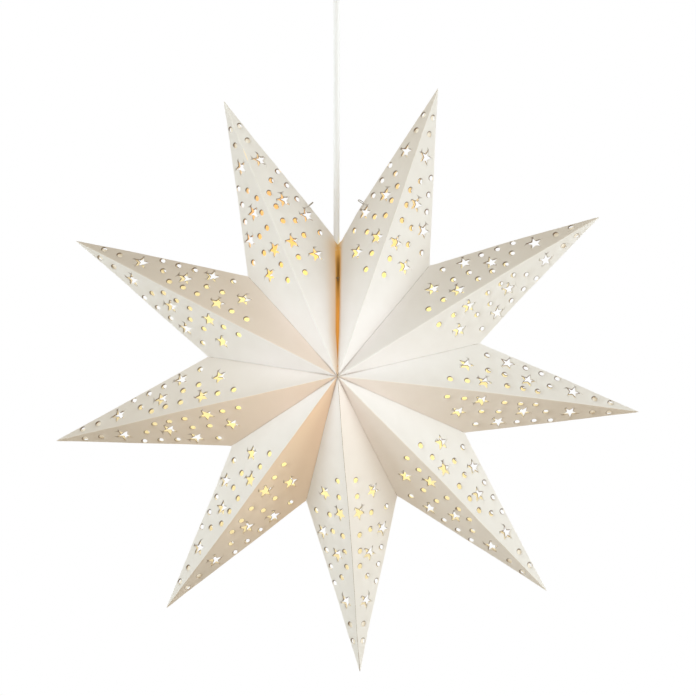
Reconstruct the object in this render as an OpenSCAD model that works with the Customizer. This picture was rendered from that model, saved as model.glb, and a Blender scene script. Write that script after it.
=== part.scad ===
// A folded paper star lantern with nine hollow points, hung on a lampholder and cord from a ceiling cup.
// Units are millimetres. The ceiling is at z = 0, the lantern hangs below it and its front faces -Y.
// In the star's own frame the seam points up (+Z), the tips lie round the Y axis and the apexes on it.

/* [Star] */
// distance from the star's centre to each tip
tip_radius = 300; // [280:1:320]
// distance from the star's centre to each notch between two points
notch_radius = 136; // [130:1:142]
// distance from the middle plane to the front apex, and to the back one
half_depth = 80; // [74:1:86]
// thickness of the card
card_t = 0.6; // [0.4:0.05:0.8]
// angle left open between the two end points, at the seam
seam_angle = 1.8; // [1.2:0.1:3]
// strip that is cut off each edge along the seam
seam_cut = 1.2; // [0.8:0.1:2]
// how far the flared corner at the seam's notch runs down the seam
flare_run = 20; // [10:1:24]
// how far the same corner runs back along the point's edge
flare_edge = 6; // [3:0.5:8]
// width of the flap folded in along each side of the seam
flap_w = 8.5; // [6:0.5:9]
// how far down the seam from the notch the flap starts
flap_start = 14; // [12:1:24]
// length over which the flap narrows at its two ends
flap_taper = 18; // [14:1:24]
// gap between the cards of two neighbouring points, where glue joins them
glue_gap = 0.3; // [0.2:0.05:0.5]

/* [Cut-outs] */
// centre to arm tip of a star cut-out
cut_star_r = 8.3; // [7:0.1:8.6]
// centre to inner corner of a star cut-out
cut_star_inner_r = 3.7; // [3:0.1:4.2]
// radius of a round cut-out
cut_dot_r = 3.1; // [2.5:0.1:3.4]

/* [Hanging] */
// free length of cord between the ceiling cup and the lampholder
cord_free = 300; // [200:5:400]
// radius of the round cord
cord_r = 3; // [2.6:0.1:3.2]
// tilt of the star, anticlockwise as seen from the front
hang_lean = 2.9; // [0:0.1:4]
// how far the seam hangs to the right of the cord
hang_shift = 2.5; // [0:0.1:3]
// height of the thread loop above the star's centre
tie_height = 107; // [104:0.5:110]
// half the width of the thread loop
tie_half_w = 7; // [6.5:0.1:8]
// distance from the middle plane to the loop's front and back strands
tie_half_l = 26; // [25.5:0.5:28]
// radius of the thread
thread_r = 0.5; // [0.4:0.05:0.6]
// radius of the thread's knot
knot_r = 1.6; // [1.2:0.1:2]
// distance from the notch to the small thread loop on each edge beside the seam
loop_rise = 42; // [36:1:48]
// how far inside the edge the loop goes through the card
loop_set = 2; // [1.8:0.1:2.4]
// how far the loop stands out of the edge
loop_reach = 4.5; // [3:0.1:5]
// half the loop's width from front to back
loop_half = 4.6; // [4.2:0.1:5]
// space between the thread and the lampholder's grip
tie_clearance = 1.3; // [1.2:0.05:1.6]

/* [Ceiling cup] */
// outer radius of the cup
cup_r = 41; // [40:0.5:46]
// height of the cup
cup_h = 55; // [52:1:70]
// wall of the cup
cup_wall = 1.5; // [1.2:0.1:2]
// radius of the cup's rounded lower edge
cup_edge_r = 8; // [4:0.5:12]
// length of the steel plate on the ceiling
plate_len = 76; // [74:0.5:76]
// width of the plate
plate_w = 18; // [14:0.5:24]
// thickness of the plate
plate_t = 1.5; // [1:0.1:2]
// height of the plate's two turned-down ears
ear_h = 16; // [14:0.5:20]
// distance between the plate's two ceiling holes
hole_pitch = 50; // [44:1:54]
// radius of the plate's ceiling holes
hole_r = 2.2; // [1.8:0.1:2.6]
// how far below the ceiling the cup's side screws are
side_screw_drop = 10; // [8:0.5:11]

/* [Terminals] */
// length of the terminal block
block_len = 22; // [20:0.5:26]
// width of the terminal block
block_w = 14; // [12:0.5:16]
// height of the terminal block
block_h = 16; // [14:0.5:18]
// distance between the block's two terminals
block_pitch = 12; // [11:0.5:12]
// radius of the wire bores, in the block and in the holder's insert
wire_bore_r = 1.5; // [1.3:0.1:1.7]
// depth of the block's wire bores
wire_bore_depth = 10; // [8:0.5:11]
// radius of an insulated core
core_r = 1.1; // [0.9:0.05:1.2]
// radius of a terminal screw
terminal_screw_r = 1.5; // [1.2:0.1:1.7]
// length of a terminal screw
terminal_screw_len = 5; // [4:0.1:5.4]
// distance from the inner end of a wire bore in the block to its screw
block_clamp_set = 4; // [3:0.1:5]
// distance from the mouth of a wire bore in the insert to its screw
insert_clamp_set = 3.5; // [3:0.1:4]
// depth of the insert's wire bores
insert_bore_depth = 6; // [5.5:0.1:7]
// space between a core's end and the bottom of its bore, and before its bend at the mouth
core_short = 0.5; // [0.3:0.1:0.8]
// space between a core and the middle of the sheath
core_apart = 0.2; // [0.1:0.05:0.3]
// straight length of a core where it leaves the sheath
core_lead = 0.4; // [0.3:0.1:0.6]

/* [Cord grips] */
// outer radius of the grip under the cup
gland_r = 8; // [7:0.5:10]
// height of the grip under the cup
gland_h = 9; // [8:0.5:12]
// radius of both grips' threaded stems
stem_r = 5; // [4.6:0.1:5.4]
// length of the stem inside the cup
gland_stem = 9; // [8:0.5:12]
// radius of the nut across its corners
nut_r = 9; // [8:0.5:10]
// thickness of the nut
nut_t = 4; // [3:0.5:5]
// length of cord above the stem's end, in the cup
cord_tail = 6; // [4:0.5:8]

/* [Lampholder] */
// outer radius of the grip on the lampholder
grip_r = 7; // [6.5:0.1:8]
// height of the grip on the lampholder
grip_h = 10; // [8:0.5:12]
// length of its stem inside the cap
grip_stem = 4; // [3.5:0.5:5]
// how far the cord's sheath runs past the stem
sheath_past = 1; // [0.5:0.5:2]
// outer radius of the lampholder's cap
cap_r = 14; // [13.5:0.1:15]
// height of the cap
cap_h = 28; // [26:0.5:32]
// wall of the cap
cap_wall = 2; // [1.6:0.1:2.4]
// radius of the cap's rounded shoulder
cap_shoulder = 6; // [4:0.5:6.5]
// length of the skirt that shows below the cap
skirt_h = 26; // [24:0.5:30]
// outer radius of the skirt
skirt_r = 13; // [12.5:0.1:13.4]
// length of the skirt inside the cap
skirt_plug = 8; // [6:0.5:10]
// height of the insert on top of the skirt
insert_h = 9; // [8:0.5:10]
// distance between the insert's two terminals
insert_pitch = 11; // [10:0.5:11.5]
// radius of the centre contact
contact_r = 4.5; // [4:0.1:5]
// thickness of the centre contact
contact_t = 1; // [0.8:0.1:1.2]
// wall of the brass thread shell
shell_wall = 1; // [0.8:0.1:1.2]
// height of the brass thread shell
shell_h = 22; // [18:0.5:24]

/* [Bulb] */
// radius of the bulb's screw cap
bulb_cap_r = 7; // [6.8:0.05:7]
// height of the screw cap
bulb_cap_h = 21; // [20:0.5:24]
// thickness of the screw cap's crown
crown_t = 1; // [0.8:0.1:1.4]
// height of the glass ring over the cap
ring_h = 2.6; // [2:0.1:3]
// how much smaller the ring is than the screw cap, at the radius
ring_set = 1.6; // [1.4:0.1:2]
// radius of the tip contact
tip_r = 2.4; // [2:0.1:3]
// height of the tip contact
tip_h = 1.8; // [1.4:0.1:2.2]
// radius of the glass
glass_r = 22.5; // [20:0.5:24]
// distance from the cap's lower edge to the middle of the glass
glass_drop = 31; // [30.5:0.5:34]
// wall of the glass
glass_wall = 0.9; // [0.6:0.1:1.2]
// how much smaller the glass neck is than the screw cap, at the radius
neck_set = 0.6; // [0.5:0.05:0.8]
// length of the neck below the screw cap
neck_len = 7; // [5:0.5:8]
// length of the neck inside the screw cap
neck_seat = 4; // [3:0.5:6]
// length of the glass stem inside the bulb
stem_len = 16; // [12:0.5:18]
// radius of the glass stem
bulb_stem_r = 3.6; // [3:0.1:4]
// thickness of the stem's flare in the glass neck
stem_flare_t = 2; // [1.6:0.1:2.6]
// length of the light sticks
stick_len = 20; // [14:0.5:22]
// distance from the bulb's axis to each light stick
stick_ring = 2.4; // [2:0.1:2.6]
// radius of a light stick
stick_r = 0.9; // [0.7:0.05:1.1]

/* [Fits] */
// radial clearance between a fixed shaft and its hole
fit = 0.05; // [0.03:0.01:0.1]
// clearance between pieces that only lie near each other
near = 0.3; // [0.2:0.05:0.4]
// radial clearance of the side screws in the cup, and of their heads on it
side_fit = 0.1; // [0.05:0.05:0.3]
// how far a side screw runs past the ear of the plate
side_screw_past = 3; // [2:0.5:5]
// space between a grip's screw and the edge of the grip
grip_screw_set = 1; // [0.8:0.1:1.4]
// radial space between the insert and the cap's wall
insert_room = 0.5; // [0.4:0.05:0.7]
// radius of the small machine screws
screw_r = 1.5; // [1.2:0.1:1.6]
// radius of their heads
screw_head_r = 2.8; // [2.4:0.1:3.2]
// height of their heads
screw_head_h = 1.8; // [1.4:0.1:2]

/* [Hidden] */
$fn = 96;
eps = 0.01;
past = 1;
points = 9;
span = (360 - seam_angle) / points;
half_span = span / 2;
lower_point = 5;

// One flat panel: the tip is at the origin, the ridge runs along +X and the notch lies on the +Y side.
ridge_len = sqrt(tip_radius * tip_radius + half_depth * half_depth);
notch_x = notch_radius * sin(half_span);
notch_z = notch_radius * cos(half_span);
edge_len = sqrt(pow(notch_x, 2) + pow(tip_radius - notch_z, 2));
valley_len = sqrt(notch_radius * notch_radius + half_depth * half_depth);
panel_angle = acos((edge_len * edge_len + ridge_len * ridge_len - valley_len * valley_len)
                   / (2 * edge_len * ridge_len));
notch_flat = edge_len * [cos(panel_angle), sin(panel_angle)];
apex_flat = [ridge_len, 0];
valley_dir = (apex_flat - notch_flat) / valley_len;
tip_to_valley = ridge_len * notch_flat[1] / valley_len;

// The panel's outward normal in the point's frame gives its slope at the ridge and at the valley.
tip_3d = [0, 0, tip_radius];
notch_3d = [notch_x, 0, notch_z];
apex_3d = [0, -half_depth, 0];
normal_raw = cross(apex_3d - tip_3d, notch_3d - tip_3d);
normal = normal_raw / norm(normal_raw);
ridge_fold = asin(normal[0]);
valley_side = [cos(half_span), 0, -sin(half_span)];
valley_cos = normal * valley_side;
valley_sin = sqrt(1 - valley_cos * valley_cos);
glue_cut = (glue_gap / 2 + card_t / 2 * valley_sin) / valley_cos;
seam_back = (seam_cut + card_t / 2 * valley_sin) / valley_cos;

// Cut-outs of one panel. The first number is the distance from the tip as a share of the ridge,
// and the second is the distance from the ridge as a share of the way to the outer edge's line.
star_cuts = [
    [0.2238, 0.5340], [0.3768, 0.4990], [0.4429, 0.7924], [0.5234, 0.2155], [0.5814, 0.4887]
];
dot_cuts = [
    [0.0950, 0.6157], [0.1498, 0.5299], [0.3028, 0.4967], [0.3446, 0.2304], [0.3945, 0.2330],
    [0.4477, 0.2240], [0.2754, 0.8951], [0.3285, 0.8521], [0.3817, 0.8428], [0.4541, 0.4876],
    [0.5089, 0.4844], [0.5105, 0.8101], [0.5797, 0.1874], [0.6361, 0.1708]
];
cut_arms = 5;
dot_sides = 32;
thread_hole_sides = 24;

// Heights below the ceiling.
gland_bottom = -cup_h - gland_h;
grip_top = gland_bottom - cord_free;
tie_z = grip_top + tie_clearance;
cap_top = grip_top - grip_h;
cap_bottom = cap_top - cap_h;
skirt_bottom = cap_bottom - skirt_h;
skirt_top = cap_bottom + skirt_plug;
insert_top = skirt_top + insert_h;
contact_z = skirt_top - contact_t;
bulb_top = contact_z - fit;
ring_top = bulb_top - tip_h;
bulb_cap_top = ring_top - ring_h;
bulb_cap_bottom = bulb_cap_top - bulb_cap_h;
glass_z = bulb_cap_bottom - glass_drop;
shell_top = contact_z - near;
shell_inner = bulb_cap_r + fit;
shell_outer = shell_inner + shell_wall;
ring_r = bulb_cap_r - ring_set;
neck_r = bulb_cap_r - neck_set;
plug_r = cap_r - cap_wall - fit;
insert_r = cap_r - cap_wall - insert_room;
block_bottom = -plate_t - block_h;
sheath_top = -cup_h + cup_wall + gland_stem + cord_tail;
sheath_end = cap_top - grip_stem - sheath_past;
mouth_flare = 1;
grip_screw_rise = gland_h - screw_r - grip_screw_set;
sticks = 4;

white_card = [0.93, 0.92, 0.9];
white_thread = [0.95, 0.94, 0.9];
white_plastic = [0.9, 0.9, 0.88];
steel = [0.72, 0.73, 0.75];
brass = [0.8, 0.65, 0.3];
glass_colour = [1, 0.93, 0.8, 0.5];
warm_stick = [1, 0.8, 0.4];
black_glass = [0.1, 0.1, 0.12];
white_ceramic = [0.85, 0.83, 0.78];
brown_core = [0.45, 0.3, 0.2];
blue_core = [0.25, 0.4, 0.7];

// A tube from height z_low to z_high.
module tube(outer, inner, z_low, z_high) {
    translate([0, 0, z_low]) difference() {
        cylinder(r = outer, h = z_high - z_low);
        translate([0, 0, -past]) cylinder(r = inner, h = z_high - z_low + 2 * past);
    }
}

// A solid rod from height z_low to z_high.
module rod(r, z_low, z_high) {
    translate([0, 0, z_low]) cylinder(r = r, h = z_high - z_low);
}

// Direction of a path at one of its points.
function along(path, i, closed) = let (
        n = len(path),
        a = closed ? path[(i + n - 1) % n] : path[max(i - 1, 0)],
        b = closed ? path[(i + 1) % n] : path[min(i + 1, n - 1)]
    )
    (b - a) / norm(b - a);

// A round tube along a flat path, with one ring of points at each point of the path.
// The vector up is square to the path's plane, and radii has the tube's radius at each point.
module swept_tube(path, up, radii, sides, closed = false) {
    n = len(path);
    rings = [for (i = [0 : n - 1]) for (j = [0 : sides - 1])
        path[i] + radii[i] * cos(360 * j / sides) * cross(along(path, i, closed), up)
        + radii[i] * sin(360 * j / sides) * up];
    walls = [for (i = [0 : (closed ? n : n - 1) - 1]) for (j = [0 : sides - 1])
        let (k = (j + 1) % sides, next = (i + 1) % n)
        [i * sides + j, i * sides + k, next * sides + k, next * sides + j]];
    first = [for (j = [0 : sides - 1]) sides - 1 - j];
    last = [for (j = [0 : sides - 1]) (n - 1) * sides + j];
    faces = closed ? walls : concat(walls, [first], [last]);
    polyhedron(points = rings, faces = faces, convexity = 4);
}

// The star's frame, hung by the thread loop and tilted about it.
module in_star() {
    translate([hang_shift, 0, tie_z])
        rotate([0, -hang_lean, 0])
            translate([0, 0, -tie_height])
                children();
}

// One star-shaped cut-out, with an arm toward the tip.
module star_shape() {
    step = 180 / cut_arms;
    polygon([for (i = [0 : 2 * cut_arms - 1])
        (i % 2 == 0 ? cut_star_r : cut_star_inner_r) * [-cos(i * step), sin(i * step)]]);
}

// Outline of a panel between two glued neighbours.
module glued_outline() {
    k = 1 - glue_cut / tip_to_valley;
    polygon([[0, 0], k * apex_flat, k * notch_flat]);
}

// Outline of a panel beside the seam, with its corner at the notch flared open.
module seam_outline() {
    k = 1 - seam_back / tip_to_valley;
    corner = k * notch_flat;
    polygon([
        [0, 0],
        k * apex_flat,
        corner + flare_run * valley_dir,
        corner - flare_edge * notch_flat / edge_len
    ]);
}

// Place on the flat panel of a cut-out that is given as shares.
function on_panel(p) = p[0] * ridge_len * [1, p[1] * tan(panel_angle)];

// One panel of card with its cut-outs.
module panel(at_seam) {
    translate([0, 0, -card_t / 2])
        linear_extrude(height = card_t)
            difference() {
                if (at_seam) seam_outline();
                else glued_outline();
                for (p = star_cuts) translate(on_panel(p)) star_shape();
                for (p = dot_cuts) translate(on_panel(p)) circle(r = cut_dot_r, $fn = dot_sides);
            }
}

// Flap on a seam panel, folded along the seam so that it points straight back into the star.
module seam_flap() {
    k = 1 - seam_back / tip_to_valley;
    flap_end = k * valley_len;
    translate(k * notch_flat)
        rotate([0, 0, atan2(valley_dir[1], valley_dir[0])])
            rotate([-acos(valley_cos), 0, 0])
                translate([0, 0, -card_t / 2])
                    linear_extrude(height = card_t)
                        polygon([
                            [flap_start, -card_t / 2],
                            [flap_start + flap_taper, flap_w],
                            [flap_end - 2 * flap_taper, flap_w],
                            [flap_end - flap_taper, -card_t / 2]
                        ]);
}

// The front and back panels on the clockwise side of a point.
module side_pair(at_seam) {
    for (back = [0, 1])
        mirror([0, back, 0])
            translate(tip_3d)
                rotate([-ridge_fold, atan2(tip_radius, half_depth), -90]) {
                    panel(at_seam);
                    if (at_seam) seam_flap();
                }
}

// Frame of the small loop on a point's clockwise edge: X points out of the edge and Z to the tip.
module on_edge() {
    translate([notch_x, 0, notch_z])
        rotate([0, -atan2(notch_x, tip_radius - notch_z), 0])
            translate([0, 0, loop_rise])
                children();
}

// A hole for the thread, toward the front.
module thread_hole(depth) rotate([90, 0, 0])
    cylinder(r = thread_r + near, h = depth, $fn = thread_hole_sides);

// The holes that the thread loop runs through.
module thread_holes() {
    for (side = [-1, 1])
        translate([side * tie_half_w, tie_half_l + past, tie_height])
            thread_hole(2 * (tie_half_l + past));
}

// The panels beside the seam, with the hole that their small loop runs through.
module seam_side() difference() {
    side_pair(true);
    on_edge()
        translate([-loop_set, loop_half + past, 0])
            thread_hole(2 * (loop_half + past));
}

// One side of a point, with its front and back panels.
module point_side(at_seam) {
    if (at_seam) seam_side(); else side_pair(false);
}

// One hollow point of folded card, in the star's frame. Points are counted clockwise from the seam.
module card_point(n) {
    difference() {
        at_point(n) {
            point_side(n == points);
            mirror([1, 0, 0]) point_side(n == 1);
        }
        if (n == 1 || n == points) thread_holes();
    }
}

// Frame of one point, with its tip up.
module at_point(n) rotate([0, 180 + (n - lower_point) * span, 0]) children();

// Frame of the loop on the edge beside the seam, for the first and the last point.
module at_seam_edge(n) mirror([n == 1 ? 1 : 0, 0, 0]) on_edge() children();

module star_point(n) color(white_card) in_star() card_point(n);

// Path of a closed thread loop: a rectangle with rounded corners.
thread_sides = 8;
bend_steps = 4;
tie_bend = 3;
loop_bend = 1.8;

function loop_path(half_w, half_l, bend) = [for (q = [0 : 3]) for (i = [0 : bend_steps])
    let (
        turn = 90 * (q + i / bend_steps),
        sx = (q == 0 || q == 3) ? 1 : -1,
        sy = q < 2 ? 1 : -1
    )
    [
        sx * (half_w - bend) + bend * cos(turn),
        sy * (half_l - bend) + bend * sin(turn),
        0
    ]];

module thread_loop(half_w, half_l, bend) {
    path = loop_path(half_w, half_l, bend);
    swept_tube(path, [0, 0, 1], [for (p = path) thread_r], thread_sides, true);
}

// Thread loop through both end points. It closes the seam and hangs the star on the holder's grip.
module seam_tie() color(white_thread) in_star() translate([0, 0, tie_height]) {
    thread_loop(tie_half_w, tie_half_l, tie_bend);
    translate([-knot_r, -tie_half_l, 0])
        rotate([0, 90, 0]) cylinder(r = knot_r, h = 2 * knot_r, $fn = thread_hole_sides);
}

// Small thread loop through the edge beside the seam, on the first or the last point.
module edge_loop(n) color(white_thread) in_star()
    at_point(n)
        at_seam_edge(n)
            translate([(loop_reach - loop_set) / 2, 0, 0])
                thread_loop((loop_reach + loop_set) / 2, loop_half, loop_bend);

// Steel plate on the ceiling, with two ears turned down for the cup's screws.
module ceiling_plate() color(steel) difference() {
    union() {
        translate([-plate_len / 2, -plate_w / 2, -plate_t]) cube([plate_len, plate_w, plate_t]);
        for (side = [0, 1])
            mirror([side, 0, 0])
                translate([plate_len / 2 - plate_t, -plate_w / 2, -ear_h])
                    cube([plate_t, plate_w, ear_h]);
    }
    for (side = [-1, 1])
        translate([side * hole_pitch / 2, 0, 0]) rod(hole_r, -plate_t - past, past);
    rod(screw_r + fit, -plate_t - past, past);
    translate([-plate_len, 0, -side_screw_drop])
        rotate([0, 90, 0]) cylinder(r = screw_r + fit, h = 2 * plate_len);
}

// Half section of the cup's body, with its lower edge rounded.
module cup_section(r, top, bottom, edge) {
    translate([0, bottom + edge]) square([r, top - bottom - edge]);
    translate([0, bottom]) square([r - edge, edge + eps]);
    translate([r - edge, bottom + edge]) intersection() {
        circle(r = edge);
        translate([0, -edge]) square([edge, edge + eps]);
    }
}

// Sheet metal cup that covers the terminals.
module cup() color(white_plastic) difference() {
    rotate_extrude() cup_section(cup_r, 0, -cup_h, cup_edge_r);
    rotate_extrude()
        cup_section(cup_r - cup_wall, past, cup_wall - cup_h, cup_edge_r - cup_wall);
    rod(stem_r + fit, -cup_h - past, 0);
    translate([-2 * cup_r, 0, -side_screw_drop])
        rotate([0, 90, 0]) cylinder(r = screw_r + side_fit, h = 4 * cup_r);
}

// Two screws that hold the cup to the plate's ears.
module cup_screws() color(steel) for (side = [0, 1])
    mirror([side, 0, 0]) translate([0, 0, -side_screw_drop]) rotate([0, 90, 0]) {
        rod(screw_r, plate_len / 2 - plate_t - side_screw_past, cup_r + side_fit);
        rod(screw_head_r, cup_r + side_fit, cup_r + side_fit + screw_head_h);
    }

// Insulating block with a clamp for each core.
module terminal_block() color(white_plastic) difference() {
    translate([-block_len / 2, -block_w / 2, block_bottom]) cube([block_len, block_w, block_h]);
    for (side = [-1, 1]) {
        translate([side * block_pitch / 2, 0, 0])
            rod(wire_bore_r, block_bottom - past, block_bottom + wire_bore_depth);
        translate([side * block_pitch / 2, 0, block_bottom + wire_bore_depth - block_clamp_set])
            rotate([90, 0, 0]) cylinder(r = terminal_screw_r + fit, h = block_w);
    }
    rod(screw_r + fit, block_bottom - past, 0);
    rod(screw_head_r + near, block_bottom - past, block_bottom + screw_head_h + near);
}

// Screw that holds the block under the plate.
module block_screw() color(steel) {
    rod(screw_r, block_bottom + screw_head_h + near, 0);
    rod(screw_head_r, block_bottom + near, block_bottom + screw_head_h + near);
}

// Clamp screws at the front of the block, one on each core.
module terminal_screws() color(brass) for (side = [-1, 1])
    translate([
        side * block_pitch / 2, -core_r - fit, block_bottom + wire_bore_depth - block_clamp_set
    ])
        rotate([90, 0, 0]) cylinder(r = terminal_screw_r, h = terminal_screw_len);

// Cord grip in the cup's lower face.
module cord_grip() color(white_plastic) difference() {
    union() {
        rod(gland_r, gland_bottom, -cup_h);
        rod(stem_r, -cup_h - eps, -cup_h + cup_wall + gland_stem);
    }
    rod(cord_r + fit, gland_bottom - past, 0);
    translate([0, 0, gland_bottom - eps])
        cylinder(r1 = cord_r + mouth_flare, r2 = cord_r, h = mouth_flare * 2);
    translate([0, 0, gland_bottom + grip_screw_rise])
        rotate([90, 0, 0]) cylinder(r = screw_r + fit, h = gland_r + past);
}

// Six-sided nut that holds the grip from inside the cup.
module cord_grip_nut() color(steel) difference() {
    translate([0, 0, cup_wall - cup_h]) cylinder(r = nut_r, h = nut_t, $fn = 6);
    rod(stem_r + fit, -cup_h, 0);
}

// Screw that presses on the cord in the cup's grip.
module cord_grip_screw() color(steel)
    translate([0, -cord_r - fit, gland_bottom + grip_screw_rise])
        rotate([90, 0, 0]) cylinder(r = screw_r, h = gland_r - cord_r);

// Cord inside the cup and its grip.
module cord_top() color(white_plastic) rod(cord_r, gland_bottom + cord_r + fit, sheath_top);

// One core from the end of the sheath into a terminal. It spreads from the cord in an S, at x from
// its own place in the sheath to the terminal's, and then runs straight into the bore.
core_sides = 8;
core_spread = 6;

module core(side, pitch, z_sheath, z_bend, z_end) {
    x0 = core_r + core_apart;
    z_lead = z_sheath + core_lead * sign(z_bend - z_sheath);
    bend = [for (i = [0 : core_spread])
        let (f = i / core_spread, x = x0 + (pitch / 2 - x0) * (1 - cos(180 * f)) / 2)
        [side * x, 0, z_lead + f * (z_bend - z_lead)]];
    path = concat([[side * x0, 0, z_sheath]], bend, [[side * pitch / 2, 0, z_end]]);
    swept_tube(path, [0, 1, 0], [for (p = path) core_r], core_sides);
}

module core_top(side)
    core(
        side, block_pitch, sheath_top,
        block_bottom - core_short, block_bottom + wire_bore_depth - core_short
    );

module live_core_top() color(brown_core) core_top(-1);

module neutral_core_top() color(blue_core) core_top(1);

// Free cord between the cup and the lampholder. Its upper end is round, so that it swings in the
// mouth of the cup's grip.
cord_sides = 12;
cord_steps = 20;
cord_end_turns = [75, 50, 25];
cord_route = concat(
    [for (a = cord_end_turns) [0, 0, gland_bottom + cord_r * sin(a)]],
    [for (i = [0 : cord_steps]) [0, 0, gland_bottom - cord_free * i / cord_steps]]
);
cord_radii = concat(
    [for (a = cord_end_turns) cord_r * cos(a)],
    [for (i = [0 : cord_steps]) cord_r]
);

module cord() color(white_plastic) swept_tube(cord_route, [0, 1, 0], cord_radii, cord_sides);

// Cord grip on top of the lampholder, screwed into its cap.
module holder_grip() color(white_plastic) difference() {
    union() {
        rod(grip_r, cap_top, grip_top);
        rod(stem_r, cap_top - grip_stem, cap_top + eps);
    }
    rod(cord_r + fit, cap_top - grip_stem - past, grip_top + past);
    translate([0, 0, cap_top + grip_h / 2])
        rotate([90, 0, 0]) cylinder(r = screw_r + fit, h = grip_r + past);
}

// Screw that presses on the cord in the lampholder's grip.
module holder_grip_screw() color(steel)
    translate([0, -cord_r - fit, cap_top + grip_h / 2])
        rotate([90, 0, 0]) cylinder(r = screw_r, h = grip_r - cord_r);

// Cord inside the lampholder's grip.
module cord_end() color(white_plastic) rod(cord_r, sheath_end, grip_top);

module core_end(side)
    core(
        side, insert_pitch, sheath_end,
        insert_top + core_short, insert_top - insert_bore_depth + core_short
    );

module live_core_end() color(brown_core) core_end(-1);

module neutral_core_end() color(blue_core) core_end(1);

// Domed cap of the lampholder.
module holder_cap() color(white_plastic) mirror([0, 0, 1]) difference() {
    rotate_extrude() cup_section(cap_r, -cap_bottom, -cap_top, cap_shoulder);
    rotate_extrude()
        cup_section(
            cap_r - cap_wall, past - cap_bottom, cap_wall - cap_top, cap_shoulder - cap_wall
        );
    rod(stem_r + fit, -cap_top - past, -cap_bottom);
}

// Insulating insert that carries the terminals and the centre contact.
module holder_insert() color(white_ceramic) difference() {
    rod(insert_r, skirt_top, insert_top);
    for (side = [-1, 1]) {
        translate([side * insert_pitch / 2, 0, 0])
            rod(wire_bore_r, insert_top - insert_bore_depth, insert_top + past);
        translate([side * insert_pitch / 2, 0, insert_top - insert_clamp_set])
            rotate([90, 0, 0]) cylinder(r = terminal_screw_r + fit, h = insert_r + past);
    }
}

// Clamp screws of the insert, one on each core.
module insert_screws() color(brass) for (side = [-1, 1])
    translate([side * insert_pitch / 2, -core_r - fit, insert_top - insert_clamp_set])
        rotate([90, 0, 0]) cylinder(r = terminal_screw_r, h = terminal_screw_len);

// Brass disc that meets the bulb's tip.
module centre_contact() color(brass) rod(contact_r, contact_z, skirt_top);

// Brass shell that the bulb's cap screws into.
module thread_shell() color(brass) tube(shell_outer, shell_inner, shell_top - shell_h, shell_top);

// Skirt of the lampholder, screwed into the cap, with the shell inside.
module holder_skirt() color(white_plastic) difference() {
    union() {
        rod(skirt_r, skirt_bottom, cap_bottom);
        rod(plug_r, cap_bottom - eps, skirt_top);
    }
    rod(shell_outer, skirt_bottom - past, skirt_top + past);
}

// Tip contact of the bulb.
module bulb_tip() color(brass) rod(tip_r, ring_top, bulb_top);

// Glass ring between the bulb's tip and its cap.
module bulb_ring() color(black_glass) rod(ring_r, bulb_cap_top, ring_top);

// Screw cap of the bulb, closed at its top.
module bulb_cap() color(brass) difference() {
    rod(bulb_cap_r, bulb_cap_bottom, bulb_cap_top);
    rod(neck_r + fit, bulb_cap_bottom - past, bulb_cap_top - crown_t);
}

// Half section of the bulb's glass: a ball that narrows to a neck.
neck_turn = 45;

module glass_section(r, neck) {
    intersection() {
        union() {
            circle(r = r);
            polygon([
                [0, 0],
                [r * cos(neck_turn), r * sin(neck_turn)],
                [neck, glass_drop - neck_len],
                [neck, glass_drop + neck_seat],
                [0, glass_drop + neck_seat]
            ]);
        }
        translate([0, -r - past]) square([r + past, 2 * r + glass_drop]);
    }
}

// Glass of the bulb, with its neck in the cap.
module bulb_glass() color(glass_colour) translate([0, 0, glass_z]) rotate_extrude()
    difference() {
        glass_section(glass_r, neck_r);
        glass_section(glass_r - glass_wall, neck_r - glass_wall);
        translate([0, glass_drop + neck_seat - past]) square([neck_r - glass_wall, 2 * past]);
    }

// Glass stem that carries the light sticks inside the bulb.
module bulb_stem() color(glass_colour) {
    rod(neck_r - glass_wall - fit, bulb_cap_bottom, bulb_cap_bottom + stem_flare_t);
    rod(bulb_stem_r, bulb_cap_bottom - stem_len, bulb_cap_bottom + eps);
}

// Light sticks on the end of the stem.
module light_sticks() color(warm_stick) for (i = [0 : sticks - 1])
    rotate([0, 0, (i + 0.5) * 360 / sticks])
        translate([stick_ring, 0, 0])
            rod(stick_r, bulb_cap_bottom - stem_len - stick_len, bulb_cap_bottom - stem_len);

module point_1() star_point(1);
module point_2() star_point(2);
module point_3() star_point(3);
module point_4() star_point(4);
module point_5() star_point(5);
module point_6() star_point(6);
module point_7() star_point(7);
module point_8() star_point(8);
module point_9() star_point(9);
module edge_loop_1() edge_loop(1);
module edge_loop_9() edge_loop(9);

ceiling_plate();
cup();
cup_screws();
terminal_block();
block_screw();
terminal_screws();
cord_grip();
cord_grip_nut();
cord_grip_screw();
cord_top();
live_core_top();
neutral_core_top();
cord();
holder_grip();
holder_grip_screw();
cord_end();
live_core_end();
neutral_core_end();
holder_cap();
holder_insert();
insert_screws();
centre_contact();
thread_shell();
holder_skirt();
bulb_tip();
bulb_ring();
bulb_cap();
bulb_glass();
bulb_stem();
light_sticks();
point_1();
point_2();
point_3();
point_4();
point_5();
point_6();
point_7();
point_8();
point_9();
seam_tie();
edge_loop_1();
edge_loop_9();
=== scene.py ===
"""Dresses a nine-pointed paper star lantern on a cord with a lit bulb and a ceiling cup."""

import logging
import math
from dataclasses import dataclass, field
from enum import Enum

import bpy
import numpy as np
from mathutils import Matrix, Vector, geometry, noise


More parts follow.
